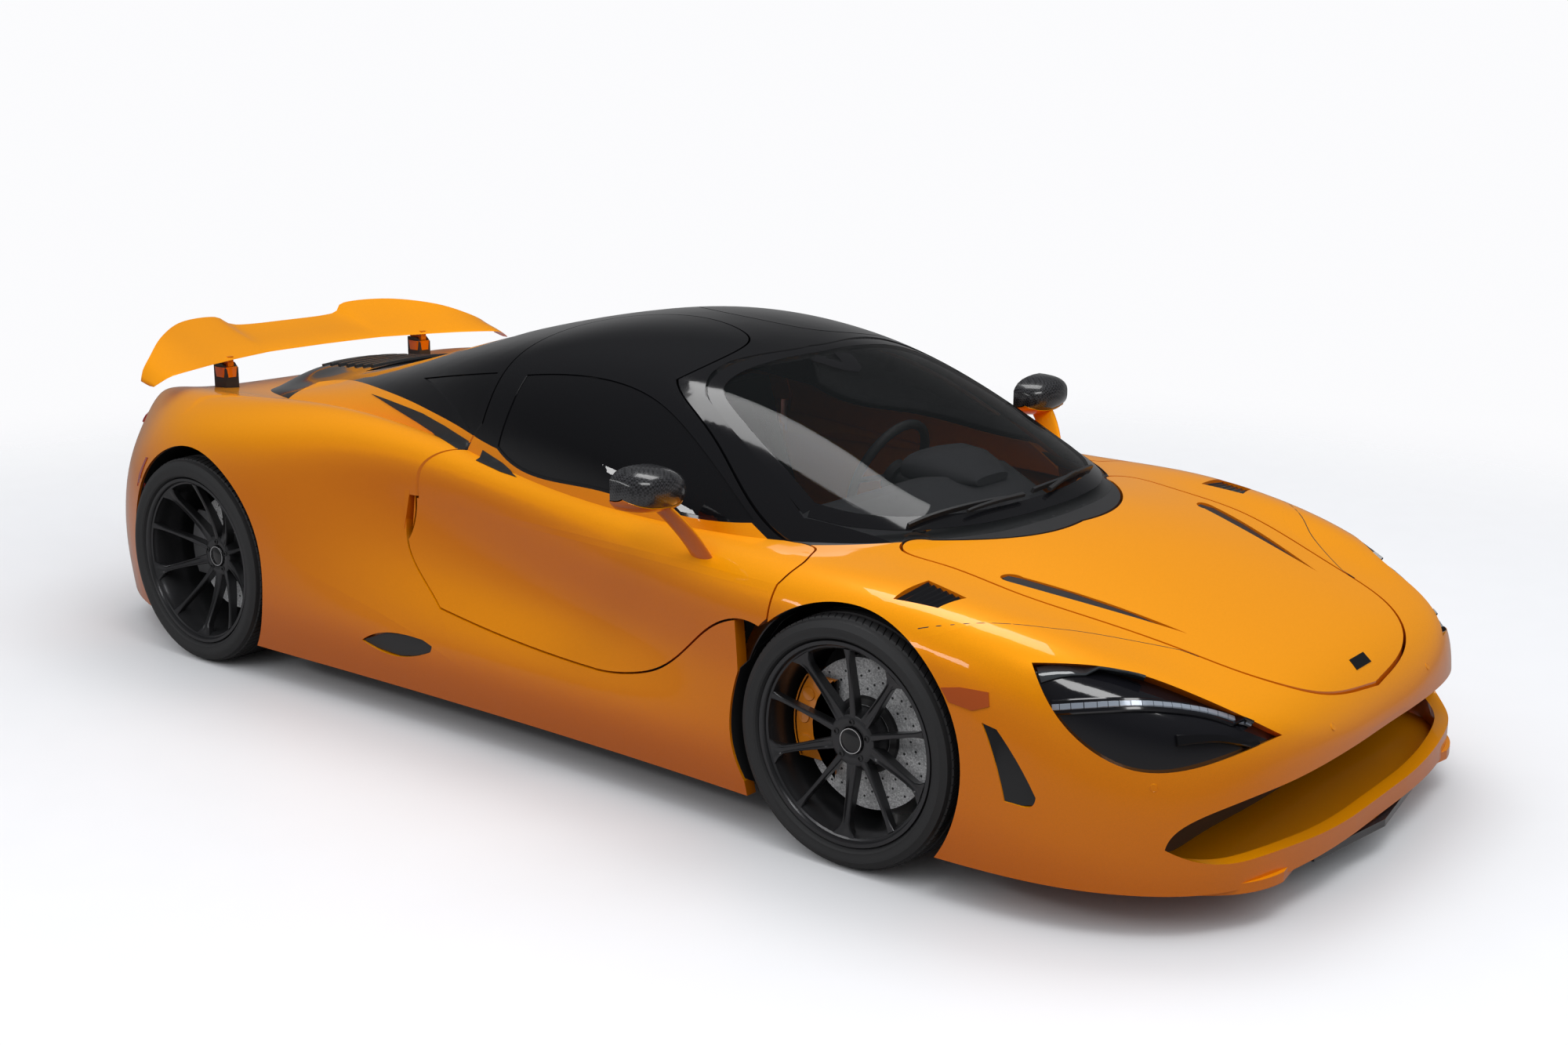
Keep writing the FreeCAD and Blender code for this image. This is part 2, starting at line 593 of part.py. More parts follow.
hinge_plate = prism([
    [(790, 290), (872, 290)], [(872, 290), (880, 360)], [(880, 360), (892, 430), (925, 510), (965, 572), (1005, 613)],
    [(1005, 613), (1045, 640), (1095, 664)], [(1095, 664), (1095, 703)], [(1095, 703), (1062, 703)],
    [(1062, 703), (1044, 662)], [(1044, 662), (960, 645)], [(960, 645), (860, 500), (790, 290)],
], "Y", PLATE_Y - PLATE_HALF, PLATE_Y + PLATE_HALF)
door_hinges = both_sides(hinge_plate.fuse(hinge_pin))

# Sub-parts as document objects
pieces = []


def part_feature(label, shape):
    """Document object for a piece whose form is computed."""
    thing = doc.addObject("Part::Feature", label)
    thing.Label = label
    thing.Shape = shape
    thing.Placement = FreeCAD.Placement()
    pieces.append(thing)
    return thing


def pair(name, right_shape):
    """The right and left pieces of a mirrored pair."""
    part_feature(name + "_right", right_shape)
    part_feature(name + "_left", mirrored(right_shape))


# Pockets in the panels, as deep as the lamp bowls: bonnet slits, brake ducts, sill ducts; louvres open into the arch
LAMP_RECESS = 26
pocket_floor = closed_solid(offset_rows(body_rows, LAMP_RECESS))
BONNET_SLIT = [
    [(1883, -386), (1750, -418), (1600, -462), (1480, -502)],
    [(1480, -502), (1444, -520), (1440, -545), (1480, -556)],
    [(1480, -556), (1600, -514), (1750, -448), (1883, -386)],
]
FENDER_LOUVRE = [
    [(1350, -885), (1350, -735)], [(1350, -735), (1478, -758)], [(1478, -758), (1462, -858)], [(1462, -858), (1350, -885)],
]
BRAKE_DUCT = [
    [(1652, 476), (1690, 466)], [(1690, 466), (1745, 400), (1796, 322)], [(1796, 322), (1790, 302), (1762, 296)],
    [(1762, 296), (1722, 300)], [(1722, 300), (1690, 395), (1652, 476)],
]
SILL_DUCT = [
    [(-578, 238), (-473, 281), (-370, 290), (-300, 288)],
    [(-300, 288), (-268, 276), (-274, 257)],
    [(-274, 257), (-340, 232), (-413, 216), (-520, 222), (-578, 238)],
]
slit_pocket = prism(BONNET_SLIT, "Z", 500, 900).cut(pocket_floor)
louvre = prism(FENDER_LOUVRE, "Z", 500, 900)
duct_pocket = prism(BRAKE_DUCT, "Y", -1100, -800).cut(pocket_floor)
sill_pocket = prism(SILL_DUCT, "Y", -1100, -800).cut(pocket_floor)
bonnet_panel = bonnet_panel.cut(both_sides(slit_pocket))
fender_panel = fender_panel.cut(louvre)
sill_panel = sill_panel.cut(sill_pocket)
quarter_panel = largest(quarter_panel.fuse(buttress))

# Headlamps: an eye-shaped socket cut through the bumper, filled by a dark bowl and a lens
LAMP_AXIS = V(0.78, -0.42, 0.46)
LAMP_EDGE = [
    [(1732, -868, 618), (1790, -835, 622), (1907, -722, 596), (2046, -640, 541), (2200, -515, 452)],
    [(2200, -515, 452), (2118, -690, 415), (1983, -830, 400), (1870, -880, 455), (1732, -868, 618)],
]


def lamp_zone(depth, height):
    """Prism of the lamp's outline from below the skin to above it."""
    lamp_axis = V(LAMP_AXIS).normalize()
    wire = wire_of(LAMP_EDGE, lambda p: V(*p) - lamp_axis * depth)
    surface = Part.makeFilledFace(wire.Edges)
    return surface.extrude(lamp_axis * (depth + height))


lamp_cutter = lamp_zone(140, 120)
lamp_floor_inner = closed_solid(offset_rows(body_rows, LAMP_RECESS + 30))
headlamp = largest(pocket_floor.cut(lamp_floor_inner).common(right_half).common(lamp_cutter))

# Mouth: a wide opening below the beak, its roof and floor part of the bumper
MOUTH_EDGE = [
    [(-812, 226), (-800, 258), (-705, 316), (-529, 340), (-300, 350), (0, 354), (300, 350), (529, 340), (705, 316),
     (800, 258), (812, 226)],
    [(812, 226), (780, 204), (600, 180), (300, 166), (0, 162), (-300, 166), (-600, 180), (-780, 204), (-812, 226)],
]
mouth_zone = prism(MOUTH_EDGE, "X", 1900, 2400)
bumper_cuts = [lamp_cutter, mirrored(lamp_cutter), mouth_zone, duct_pocket, mirrored(duct_pocket)]
front_bumper = largest(front_panel.cut(Part.makeCompound(bumper_cuts)))
GRILLE_X = 2010
mouth_grille = prism(MOUTH_EDGE, "X", GRILLE_X, GRILLE_X + 25).common(body_inner)

# Splitter under the nose, with upswept tips, and a black lip
SPLITTER_EDGE = symmetric([
    [(2245, 0), (2215, -300), (2235, -530)],
    [(2235, -530), (2150, -700), (1990, -800), (1800, -880), (1630, -930)],
    [(1630, -930), (1630, 0)],
])
splitter = prism(SPLITTER_EDGE, "Z", FLOOR_Z - 12, FLOOR_Z + 14)
lip = prism(symmetric([[(NOSE_X, 0), (2225, -330)], [(2225, -330), (2100, -330)], [(2100, -330), (2100, 0)]]),
            "Z", FLOOR_Z - 32, FLOOR_Z - 12)
front_bumper = largest(front_bumper.cut(splitter))
# The bumper's arch corners are solids of their own, face to face with its middle
CORNER_X = 1630
corner_zone = slab(1400, CORNER_X, -1100, 1100, 0, 900)
part_feature("front_splitter", splitter)
part_feature("front_lip", lip)

part_feature("front_bumper", parted(front_bumper, corner_zone))
pair("headlamp", headlamp)
pair("fender", fender_panel)
pair("sill", sill_panel)
HAUNCH_X = -1640
pair("quarter", parted(quarter_panel, slab(TAIL_X, HAUNCH_X, -1200, 0, 0, 1100)))
part_feature("roof", roof_panel)
part_feature("windscreen", windscreen_glass)
part_feature("rear_window", rear_glass)
part_feature("quarter_windows", both_sides(quarter_glass))
pair("door", door_panel)
pair("door_frame", door_frame)
pair("door_glass", door_glass)

# Tub with floor, side beams and bulkheads, the front luggage well, and rails to both ends
TUB_FLOOR_Z = FLOOR_Z + 40
REAR_WALL_X = -500
FRONT_WALL_X = 960
WALL = 40
BEAM_Y = 840
WHEEL_SIDE_Y = 550
cabin_space = body_inner.fuse(canopy_inner)
side_front_x = FRONT_X - FRONT_ARCH - LINER - 8
tub = slab(REAR_WALL_X, side_front_x, -BEAM_Y, BEAM_Y, FLOOR_Z, 330)
tub = tub.fuse(slab(side_front_x - 100, FRONT_WALL_X, -WHEEL_SIDE_Y, WHEEL_SIDE_Y, FLOOR_Z, 330))
tub = tub.cut(slab(REAR_WALL_X + WALL, side_front_x - WALL, -640, 640, TUB_FLOOR_Z, 400))
tub = tub.cut(slab(0, FRONT_WALL_X, -WHEEL_SIDE_Y + WALL, WHEEL_SIDE_Y - WALL, TUB_FLOOR_Z, 400))
rear_wall = slab(REAR_WALL_X, REAR_WALL_X + WALL, -900, 900, FLOOR_Z, 1200).common(cabin_space)
front_wall = slab(FRONT_WALL_X, FRONT_WALL_X + WALL, -WHEEL_SIDE_Y, WHEEL_SIDE_Y, FLOOR_Z, 640)
well = slab(FRONT_WALL_X + 20, 1900, -380, 380, 180, 500)
well = well.cut(slab(FRONT_WALL_X + WALL + 10, 1875, -355, 355, 200, 700))
keel = slab(-1700, 1630, -520, 520, FLOOR_Z, FLOOR_Z + 10)
rails = both_sides(slab(-1900, REAR_WALL_X + 20, -380, -330, 210, 300))
front_rails = both_sides(slab(1880, GRILLE_X, -340, -290, 190, 290))
rail_feet = both_sides(slab(-600, -560, -380, -330, FLOOR_Z + 5, 220))

# Tow socket: a threaded boss on the right rail's end, reached through the mouth
TOW_AT = V(2045, -315, 240)
TOW_BORE = 9
TOW_DEPTH = 60
tow_boss = rod(V(1960, TOW_AT.y, TOW_AT.z), TOW_AT, 22)
tow_bore = rod(TOW_AT - V(TOW_DEPTH, 0, 0), TOW_AT + V(5, 0, 0), TOW_BORE)
mouth_grille = mouth_grille.cut(tow_boss)

# Bonnet hinges: goosenecks that reach round the cowl from pins on the front wall
BONNET_AXIS = V(1118, 0, 742)
NECK_Y = 415
NECK_HALF = 10
NECK_OUTER = 172
NECK_INNER = 150
PIN = 8


def gooseneck(y):
    """Hook about the bonnet's hinge line: an arc below the cowl, closed by an arm to the pin."""
    middle = V(BONNET_AXIS.x, y - NECK_HALF, BONNET_AXIS.z)
    arc = Part.makeCylinder(NECK_OUTER, 2 * NECK_HALF, middle, V(0, 1, 0))
    arc = arc.cut(Part.makeCylinder(NECK_INNER, 2 * NECK_HALF, middle, V(0, 1, 0)))
    reach = 400
    wedge = [[(middle.x, middle.z), (middle.x + reach, middle.z - 20)],
             [(middle.x + reach, middle.z - 20), (middle.x + reach, middle.z - reach)],
             [(middle.x + reach, middle.z - reach), (middle.x - 40, middle.z - reach)],
             [(middle.x - 40, middle.z - reach), (middle.x, middle.z)]]
    arc = arc.common(prism(wedge, "Y", y - NECK_HALF, y + NECK_HALF))
    arm = slab(middle.x - 10, middle.x + 10, y - NECK_HALF, y + NECK_HALF, middle.z - NECK_OUTER, middle.z)
    arm.rotate(middle, V(0, 1, 0), 8)
    eye = Part.makeCylinder(16, 2 * NECK_HALF, middle, V(0, 1, 0))
    bore = Part.makeCylinder(PIN + RUNNING, 4 * NECK_HALF, middle - V(0, NECK_HALF, 0), V(0, 1, 0))
    return arc.multiFuse([arm, eye]).cut(bore)


def neck_bracket(side):
    """Bracket on the front wall with the pin of one gooseneck."""
    y = side * (NECK_Y + NECK_HALF + GAP + 9)
    outline = [[(FRONT_WALL_X + 10, 560), (FRONT_WALL_X + 10, 638)], [(FRONT_WALL_X + 10, 638), (1104, 754)],
               [(1104, 754), (1132, 754)], [(1132, 754), (1132, 730)], [(1132, 730), (1040, 560)],
               [(1040, 560), (FRONT_WALL_X + 10, 560)]]
    plate = prism(outline, "Y", y - 9, y + 9)
    pin = rod(V(BONNET_AXIS.x, side * (NECK_Y - NECK_HALF - 4), BONNET_AXIS.z), V(BONNET_AXIS.x, y, BONNET_AXIS.z), PIN)
    return plate.fuse(pin)


bonnet_necks = [gooseneck(-NECK_Y), gooseneck(NECK_Y)]
neck_brackets = [neck_bracket(-1), neck_bracket(1)]

EYE_ROOM = 22
for eye_y in (-415, 415):
    eye_low = V(BONNET_AXIS.x, eye_y - 36, BONNET_AXIS.z)
    cowl_panel = cowl_panel.cut(Part.makeCylinder(EYE_ROOM, 72, eye_low, V(0, 1, 0)))
cowl_panel = cowl_panel.cut(neck_brackets)
chassis = tub.multiFuse(neck_brackets + [rear_wall, front_wall, well, keel, rails, front_rails, rail_feet])
part_feature("bonnet", largest(bonnet_panel.multiFuse(bonnet_necks)))
part_feature("cowl", largest(cowl_panel))
part_feature("front_grille", largest(mouth_grille))
chassis = chassis.fuse(tow_boss).cut(tow_bore)
part_feature("tub", chassis.removeSplitter())
part_feature("door_hinges", largest(door_hinges.cut(chassis), 2))

# Cabin: dashboard, steering wheel, seats
dash = prism([
    [(955, 640), (955, 480)], [(955, 480), (700, 500)], [(700, 500), (560, 560)],
    [(560, 560), (560, 660), (640, 720), (760, 740)], [(760, 740), (955, 640)],
], "Y", -550, 550)
part_feature("dashboard", dash)
WHEEL_RIM_CENTRE = V(440, 370, 690)
WHEEL_TILT = V(-0.92, 0, 0.39)
ring = Part.makeTorus(175, 15, WHEEL_RIM_CENTRE, WHEEL_TILT)
hub = Part.makeCylinder(55, 30, WHEEL_RIM_CENTRE - WHEEL_TILT * 45, WHEEL_TILT)
column = rod(WHEEL_RIM_CENTRE - WHEEL_TILT * 45, WHEEL_RIM_CENTRE - WHEEL_TILT * 175, 30)
spokes = [rod(WHEEL_RIM_CENTRE - WHEEL_TILT * 20 + d * 30, WHEEL_RIM_CENTRE + d * 175, 9)
          for d in (V(0, 1, 0), V(0, -1, 0), V(-0.39, 0, -0.92))]
steering_wheel = ring.multiFuse([hub, column] + spokes).cut(dash)
part_feature("steering_wheel", largest(steering_wheel))


def seat(y):
    """Bucket seat: base and backrest shells with side bolsters."""
    base = slab(-150, 330, y - 250, y + 250, TUB_FLOOR_Z, 300)
    base = base.cut(slab(-60, 400, y - 160, y + 160, 270, 400))
    back = prism([[(-150, 200), (-40, 200)], [(-40, 200), (-250, 900)], [(-250, 900), (-330, 900)],
                  [(-330, 900), (-150, 200)]], "Y", y - 240, y + 240)
    bolster = prism([[(-60, 260), (-30, 300)], [(-30, 300), (-190, 700)], [(-190, 700), (-240, 700)],
                     [(-240, 700), (-60, 260)]], "Y", y - 240, y - 165)
    other = prism([[(-60, 260), (-30, 300)], [(-30, 300), (-190, 700)], [(-190, 700), (-240, 700)],
                   [(-240, 700), (-60, 260)]], "Y", y + 165, y + 240)
    return base.multiFuse([back, bolster, other]).removeSplitter()


SEAT_Y = 370
part_feature("seat_right", seat(-SEAT_Y))
part_feature("seat_left", seat(SEAT_Y))

# Engine as one block between the rails, and the exhaust out of the tail
part_feature("engine", slab(-1150, -520, -329.7, 329.7, 200, 690))
exhaust = slab(-1900, -1150, -250, 250, 480, 640)
tips = [tube(V(-1900, y, 600), V(-2150, y, 640), 55, 48) for y in (-150, 150)]
part_feature("exhaust", exhaust.multiFuse(tips))

# Wheel liners
front_liner = Part.makeCylinder(FRONT_ARCH + LINER, 420, V(FRONT_X, -975, FRONT_WHEEL.z), V(0, 1, 0))
front_liner = front_liner.cut(arch_cutter(FRONT_WHEEL, FRONT_ARCH)).common(body_inner).cut(under_cut)
rear_liner = Part.makeCylinder(REAR_ARCH + LINER, 420, V(REAR_X, -975, REAR_WHEEL.z), V(0, 1, 0))
rear_liner = rear_liner.cut(arch_cutter(REAR_WHEEL, REAR_ARCH)).common(body_inner).cut(under_cut)
part_feature("wheel_liners", Part.makeCompound([both_sides(largest(front_liner, 1)), both_sides(largest(rear_liner, 1))]))

# Wheels: every piece turns about its own axle line along Y
HUB_RADIUS = 25


def about_axle(wheel, profile):
    """Piece turned about a wheel's axle: profile gives runs of (distance outwards from mid-wheel, radius)."""
    wire = wire_of(profile, lambda p: V(wheel.x, wheel.y - p[0], wheel.z + p[1]))
    return Part.Face(wire).revolve(V(wheel.x, wheel.y, wheel.z), V(0, 1, 0), 360)


RIM_SHORT = 12
BEAD_FIT = 0.3


def tyre(wheel, radius, width, rim_radius):
    """Tyre with round shoulders and bulged sides, its beads set against the rim's lips."""
    half = width / 2
    seat = half - RIM_SHORT - 20
    lip = half - RIM_SHORT - 8
    side = [(lip, rim_radius + 5 + BEAD_FIT), (half - 2, rim_radius + 20), (half, (radius + rim_radius) / 2),
            (half - 9, radius - 14), (half - 26, radius - 3)]
    other = [(-o, r) for o, r in side]
    inner = rim_radius - 6
    return about_axle(wheel, [
        [(-seat, inner), (-lip, rim_radius + 5 + BEAD_FIT)],
        other,
        [(-half + 26, radius - 3), (0, radius), (half - 26, radius - 3)],
        list(reversed(side)),
        [(lip, rim_radius + 5 + BEAD_FIT), (seat, inner)],
        [(seat, inner), (-seat, inner)],
    ])


def rim(wheel, radius, width, face):
    """Ten-spoke wheel: barrel with lips, hub and spokes; face is the spokes' outer plane from mid-wheel."""
    half = width / 2 - RIM_SHORT
    barrel = about_axle(wheel, [
        [(-half, radius + 5), (-half, radius - 14)], [(-half, radius - 14), (-half + 25, radius - 22)],
        [(-half + 25, radius - 22), (half - 25, radius - 22)], [(half - 25, radius - 22), (half, radius - 14)],
        [(half, radius - 14), (half, radius + 5)], [(half, radius + 5), (half - 8, radius + 5)],
        [(half - 8, radius + 5), (half - 20, radius - 6.3)], [(half - 20, radius - 6.3), (-half + 20, radius - 6.3)],
        [(-half + 20, radius - 6.3), (-half + 8, radius + 5)], [(-half + 8, radius + 5), (-half, radius + 5)],
    ])
    centre = about_axle(wheel, [
        [(face - 60, HUB_RADIUS + RUNNING), (face - 60, 78)], [(face - 60, 78), (face, 60)],
        [(face, 60), (face - 12, 0)], [(face - 12, 0), (face - 22, 0)],
        [(face - 22, 0), (face - 22, HUB_RADIUS + RUNNING)],
        [(face - 22, HUB_RADIUS + RUNNING), (face - 60, HUB_RADIUS + RUNNING)],
    ])
    spokes = []
    for i in range(10):
        wide = 17 if i % 2 else 11
        outline = [[(face - 45, 55), (face - 6, 55)], [(face - 6, 55), (half - 14, radius - 18)],
                   [(half - 14, radius - 18), (half - 45, radius - 18)], [(half - 45, radius - 18), (face - 45, 55)]]
        wire = wire_of(outline, lambda p: V(wheel.x - wide, wheel.y - p[0], wheel.z + p[1]))
        blade = Part.Face(wire).extrude(V(2 * wide, 0, 0))
        blade.rotate(V(wheel.x, 0, wheel.z), V(0, 1, 0), 36 * i)
        spokes.append(blade)
    return barrel.multiFuse([centre] + spokes).removeSplitter()


DISC_SET = 45
DISC_WIDTH = 34


def disc(wheel, radius, seat):
    """Brake disc with its bell, which seats on the back of the wheel's centre."""
    inner = seat - DISC_SET
    outer = inner + DISC_WIDTH
    bore = HUB_RADIUS + RUNNING
    return about_axle(wheel, [
        [(inner, 100), (inner, radius)], [(inner, radius), (outer, radius)], [(outer, radius), (outer, 90)],
        [(outer, 90), (seat, 78)], [(seat, 78), (seat, bore)], [(seat, bore), (seat - 8, bore)],
        [(seat - 8, bore), (seat - 8, 80)], [(seat - 8, 80), (inner, 100)],
    ])


FRONT_FACE = 76
REAR_FACE = 58
SEAT_BACK = 60
for end, wheel, radius, width, rim_radius, face, disc_radius in (
        ("front", FRONT_WHEEL, size("front_tyre_radius"), size("front_tyre_width"), size("front_rim_radius"),
         FRONT_FACE, size("front_disc_radius")),
        ("rear", REAR_WHEEL, size("rear_tyre_radius"), size("rear_tyre_width"), size("rear_rim_radius"),
         REAR_FACE, size("rear_disc_radius"))):
    pair(end + "_tyre", tyre(wheel, radius, width, rim_radius))
    pair(end + "_rim", rim(wheel, rim_radius, width, face))
    pair(end + "_disc", disc(wheel, disc_radius, face - SEAT_BACK))

# Front knuckles, rear uprights, and the arms that carry them
SWIVEL = 190
SWIVEL_GAP = 0.3


def hub_carrier(wheel, face, disc_radius):
    """Carrier with stub axle and brake caliper; its inner face is round about the steering axis."""
    stub = rod(V(wheel.x, wheel.y + 95, wheel.z), V(wheel.x, wheel.y - face + 23, wheel.z), HUB_RADIUS)
    plate = Part.makeCylinder(SWIVEL, 260, V(wheel.x, wheel.y, wheel.z - 130), V(0, 0, 1))
    plate = plate.common(slab(wheel.x - 70, wheel.x + 70, wheel.y + 75, wheel.y + 200, 0, 900))
    disc_out = wheel.y - (face - SEAT_BACK - DISC_SET + DISC_WIDTH)
    caliper_low = V(wheel.x, disc_out - 13, wheel.z)
    caliper = Part.makeCylinder(disc_radius + 18, 78, caliper_low, V(0, 1, 0))
    caliper = caliper.cut(Part.makeCylinder(115, 78, caliper_low, V(0, 1, 0)))
    caliper = caliper.common(slab(wheel.x - 230, wheel.x - 85, wheel.y - 100, wheel.y + 200, wheel.z - 95, wheel.z + 125))
    slot = Part.makeCylinder(disc_radius + 7, DISC_WIDTH + 12, V(wheel.x, disc_out - 6, wheel.z), V(0, 1, 0))
    caliper = caliper.cut(slot)
    bracket = slab(wheel.x - 130, wheel.x - 40, disc_out + DISC_WIDTH + 8, wheel.y + 85, wheel.z - 60, wheel.z + 60)
    return stub.multiFuse([plate, caliper, bracket]).removeSplitter()


def wishbones(wheel, root_y, gap):
    """Upper and lower arms from the chassis out to the carrier's round face."""
    seat_tool = Part.makeCylinder(SWIVEL + gap, 400, V(wheel.x, wheel.y, wheel.z - 200), V(0, 0, 1))
    arms = []
    for z, spread in ((wheel.z - 105, 170), (wheel.z + 85, 120)):
        outline = [
            [(wheel.x - spread, root_y), (wheel.x - spread + 40, root_y)],
            [(wheel.x - spread + 40, root_y), (wheel.x, wheel.y + 270)],
            [(wheel.x, wheel.y + 270), (wheel.x + spread - 40, root_y)],
            [(wheel.x + spread - 40, root_y), (wheel.x + spread, root_y)],
            [(wheel.x + spread, root_y), (wheel.x + 40, wheel.y + 160)],
            [(wheel.x + 40, wheel.y + 160), (wheel.x - 40, wheel.y + 160)],
            [(wheel.x - 40, wheel.y + 160), (wheel.x - spread, root_y)],
        ]
        arms.append(prism(outline, "Z", z, z + 24).cut(seat_tool))
    return Part.makeCompound(arms)


front_arms = wishbones(FRONT_WHEEL, -380, SWIVEL_GAP)
rear_arms = wishbones(REAR_WHEEL, -380, 0)
part_feature("suspension_arms", Part.makeCompound([both_sides(front_arms), both_sides(rear_arms)]))
pair("front_knuckle", hub_carrier(FRONT_WHEEL, FRONT_FACE, size("front_disc_radius")))
part_feature("rear_uprights", both_sides(hub_carrier(REAR_WHEEL, REAR_FACE, size("rear_disc_radius"))))

# Wing on two struts that slide in the tail, hinged at its struts
WING_SPAN = [
    (0, -1912, -2140, 917, 988),
    (225, -1902, -2145, 917, 992),
    (300, -1892, -2165, 916, 1026),
    (480, -1852, -2110, 912, 1030),
    (640, -1800, -2000, 908, 1003),
    (760, -1774, -1905, 898, 948),
    (824, -1776, -1868, 860, 885),
]


def wing_section(y, lead_x, trail_x, lead_z, trail_z):
    """Closed wing section at one spanwise place: thin, cambered, thick at the front third."""
    chord = lead_x - trail_x
    third = lead_x - chord / 3
    rise = (trail_z - lead_z) / 3
    upper = [V(lead_x, y, lead_z), V(third, y, lead_z + rise * 0.6 + 13), V(trail_x, y, trail_z)]
    lower = [V(trail_x, y, trail_z - 9), V(third, y, lead_z + rise * 0.6 - 13), V(lead_x, y, lead_z)]
    top = Part.BSplineCurve()
    top.interpolate(upper)
    under = Part.BSplineCurve()
    under.interpolate(lower)
    return Part.Wire([top.toShape(), Part.makeLine(upper[-1], lower[0]), under.toShape()])


stations = [(-y, a, b, c, d) for y, a, b, c, d in reversed(WING_SPAN[1:])] + WING_SPAN
wing_blade = Part.makeLoft([wing_section(*s) for s in stations], True, True)
STRUT_Y = 450
WING_PIVOT = V(-1900, 0, 890)
lugs = []
for y in (-STRUT_Y, STRUT_Y):
    lug = prism([[(-1870, 925), (-1870, 890)], [(-1870, 890), (-1885, 878), (-1915, 878), (-1930, 890)],
                 [(-1930, 890), (-1960, 930)], [(-1960, 930), (-1870, 925)]], "Y", y - 12, y + 12)
    lugs.append(lug)
wing = wing_blade.multiFuse(lugs)
PIN_RADIUS = 8
wing = wing.cut(rod(V(WING_PIVOT.x, -600, WING_PIVOT.z), V(WING_PIVOT.x, 600, WING_PIVOT.z), PIN_RADIUS + RUNNING))
WING_TIP_Y = 600
part_feature("wing", parted(largest(wing), slab(TAIL_X, 0, -WING_TIP_Y, WING_TIP_Y, 700, 1100)))
STRUT_TOP = 900
SIDE_GAP = 5
struts = []
for y in (-STRUT_Y, STRUT_Y):
    post = prism([[(-1935, 600), (-1865, 600)], [(-1865, 600), (-1865, STRUT_TOP - 18)],
                  [(-1865, STRUT_TOP - 18), (-1885, STRUT_TOP)], [(-1885, STRUT_TOP), (-1935, STRUT_TOP)],
                  [(-1935, STRUT_TOP), (-1935, 600)]], "Y", y - 27, y + 27)
    post = post.cut(slab(-2000, -1800, y - 12 - SIDE_GAP, y + 12 + SIDE_GAP, 862, 1000))
    pin = rod(V(WING_PIVOT.x, y - 27, WING_PIVOT.z), V(WING_PIVOT.x, y + 27, WING_PIVOT.z), PIN_RADIUS)
    struts.append(post.fuse(pin))
cross_bar = slab(-1925, -1875, -430, 430, 718, 748)
part_feature("wing_struts", Part.makeCompound(struts).multiFuse([cross_bar]).removeSplitter())

# Mirrors on the doors
MIRROR_AT = V(632, -968, 884)
MIRROR_REACH = V(85, 112, 62)


def head_ring(share):
    """Upright oval of the mirror's head, at a share of its reach across the car."""
    middle = MIRROR_AT + V(0, share * MIRROR_REACH.y, 0)
    narrow = math.sqrt(1 - share * share)
    along = V(narrow * MIRROR_REACH.x, 0, 0)
    oval = Part.Ellipse(middle + along, middle + V(0, 0, narrow * MIRROR_REACH.z), middle)
    return Part.Wire([oval.toShape()])


mirror_head = Part.makeLoft([head_ring(share) for share in (-0.97, -0.82, -0.5, 0, 0.5, 0.82, 0.97)], True, False)
mirror_head = mirror_head.cut(slab(400, 590, -1200, -800, 700, 1000))
pair("mirror", largest(mirror_head.cut(mirror_arm)))

# Tail: lamps, diffuser
strut_slots = both_sides(slab(-1935 - GAP, -1865 + GAP, -STRUT_Y - 27 - GAP, -STRUT_Y + 27 + GAP, 500, 1000))
tail_lamp = slab(-2185, -2100, -700, -420, 700, 716)
tail_lamp = largest(tail_lamp.cut(body_inner).common(body_outer))
part_feature("tail_lamps", both_sides(tail_lamp))
diffuser_mouth = prism([[(-1700, 90), (-1700, FLOOR_Z + 24)], [(-1700, FLOOR_Z + 24), (-2400, 362)], [(-2400, 362), (-2400, 90)],
                        [(-2400, 90), (-1700, 90)]], "Y", -480, 480)
diffuser = prism([[(-1700, FLOOR_Z + 10), (-1700, FLOOR_Z + 24)], [(-1700, FLOOR_Z + 24), (TAIL_X, 316)],
                  [(TAIL_X, 316), (TAIL_X, 298)], [(TAIL_X, 298), (-1700, FLOOR_Z + 10)]], "Y", -480, 480)
fins = [prism([[(-1800, FLOOR_Z + 30), (-2230, 290)], [(-2230, 290), (-2230, 160)], [(-2230, 160), (-1800, FLOOR_Z + 30)]],
              "Y", y - 6, y + 6) for y in (-380, -230, -80, 80, 230, 380)]
part_feature("diffuser", diffuser.multiFuse(fins).removeSplitter())
exhaust_holes = [rod(V(-1900, y, 600), V(-2300, y, 664), 62) for y in (-150, 150)]
tail_cuts = Part.makeCompound([strut_slots, both_sides(tail_lamp), diffuser_mouth] + exhaust_holes)
TAIL_CORNER_Y = 540
tail_middle = slab(TAIL_X - 100, -1800, -TAIL_CORNER_Y, TAIL_CORNER_Y, 0, 1100)
part_feature("rear_bumper", parted(largest(tail_panel.cut(tail_cuts)), tail_middle))
part_feature("engine_cover", largest(deck_panel.cut(strut_slots)))

doc.recompute()
for thing in doc.Objects:
    if "Invalid" in thing.State or "Error" in thing.State:
        raise RuntimeError("%s is %s" % (thing.Label, thing.State))
for piece in pieces:
    solids = piece.Shape.Solids
    if not solids or not piece.Shape.isValid() or not all(shell.isClosed() for shell in piece.Shape.Shells):
        raise RuntimeError("%s has no sound shape" % piece.Label)
os.makedirs("parts", exist_ok=True)
for piece in pieces:
    piece.Shape.exportStep(os.path.join("parts", piece.Label + ".step"))
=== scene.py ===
"""Looks of a mid-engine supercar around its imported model: finishes, tread, lamps, grilles and small trim.

Lengths in the tables of points are in millimetres, and mm() turns a point into metres.
"""

import json
import math

import bmesh
import bpy
from bpy.props import FloatProperty, FloatVectorProperty, IntProperty, PointerProperty
from mathutils import Matrix, Vector
from mathutils.bvhtree import BVHTree


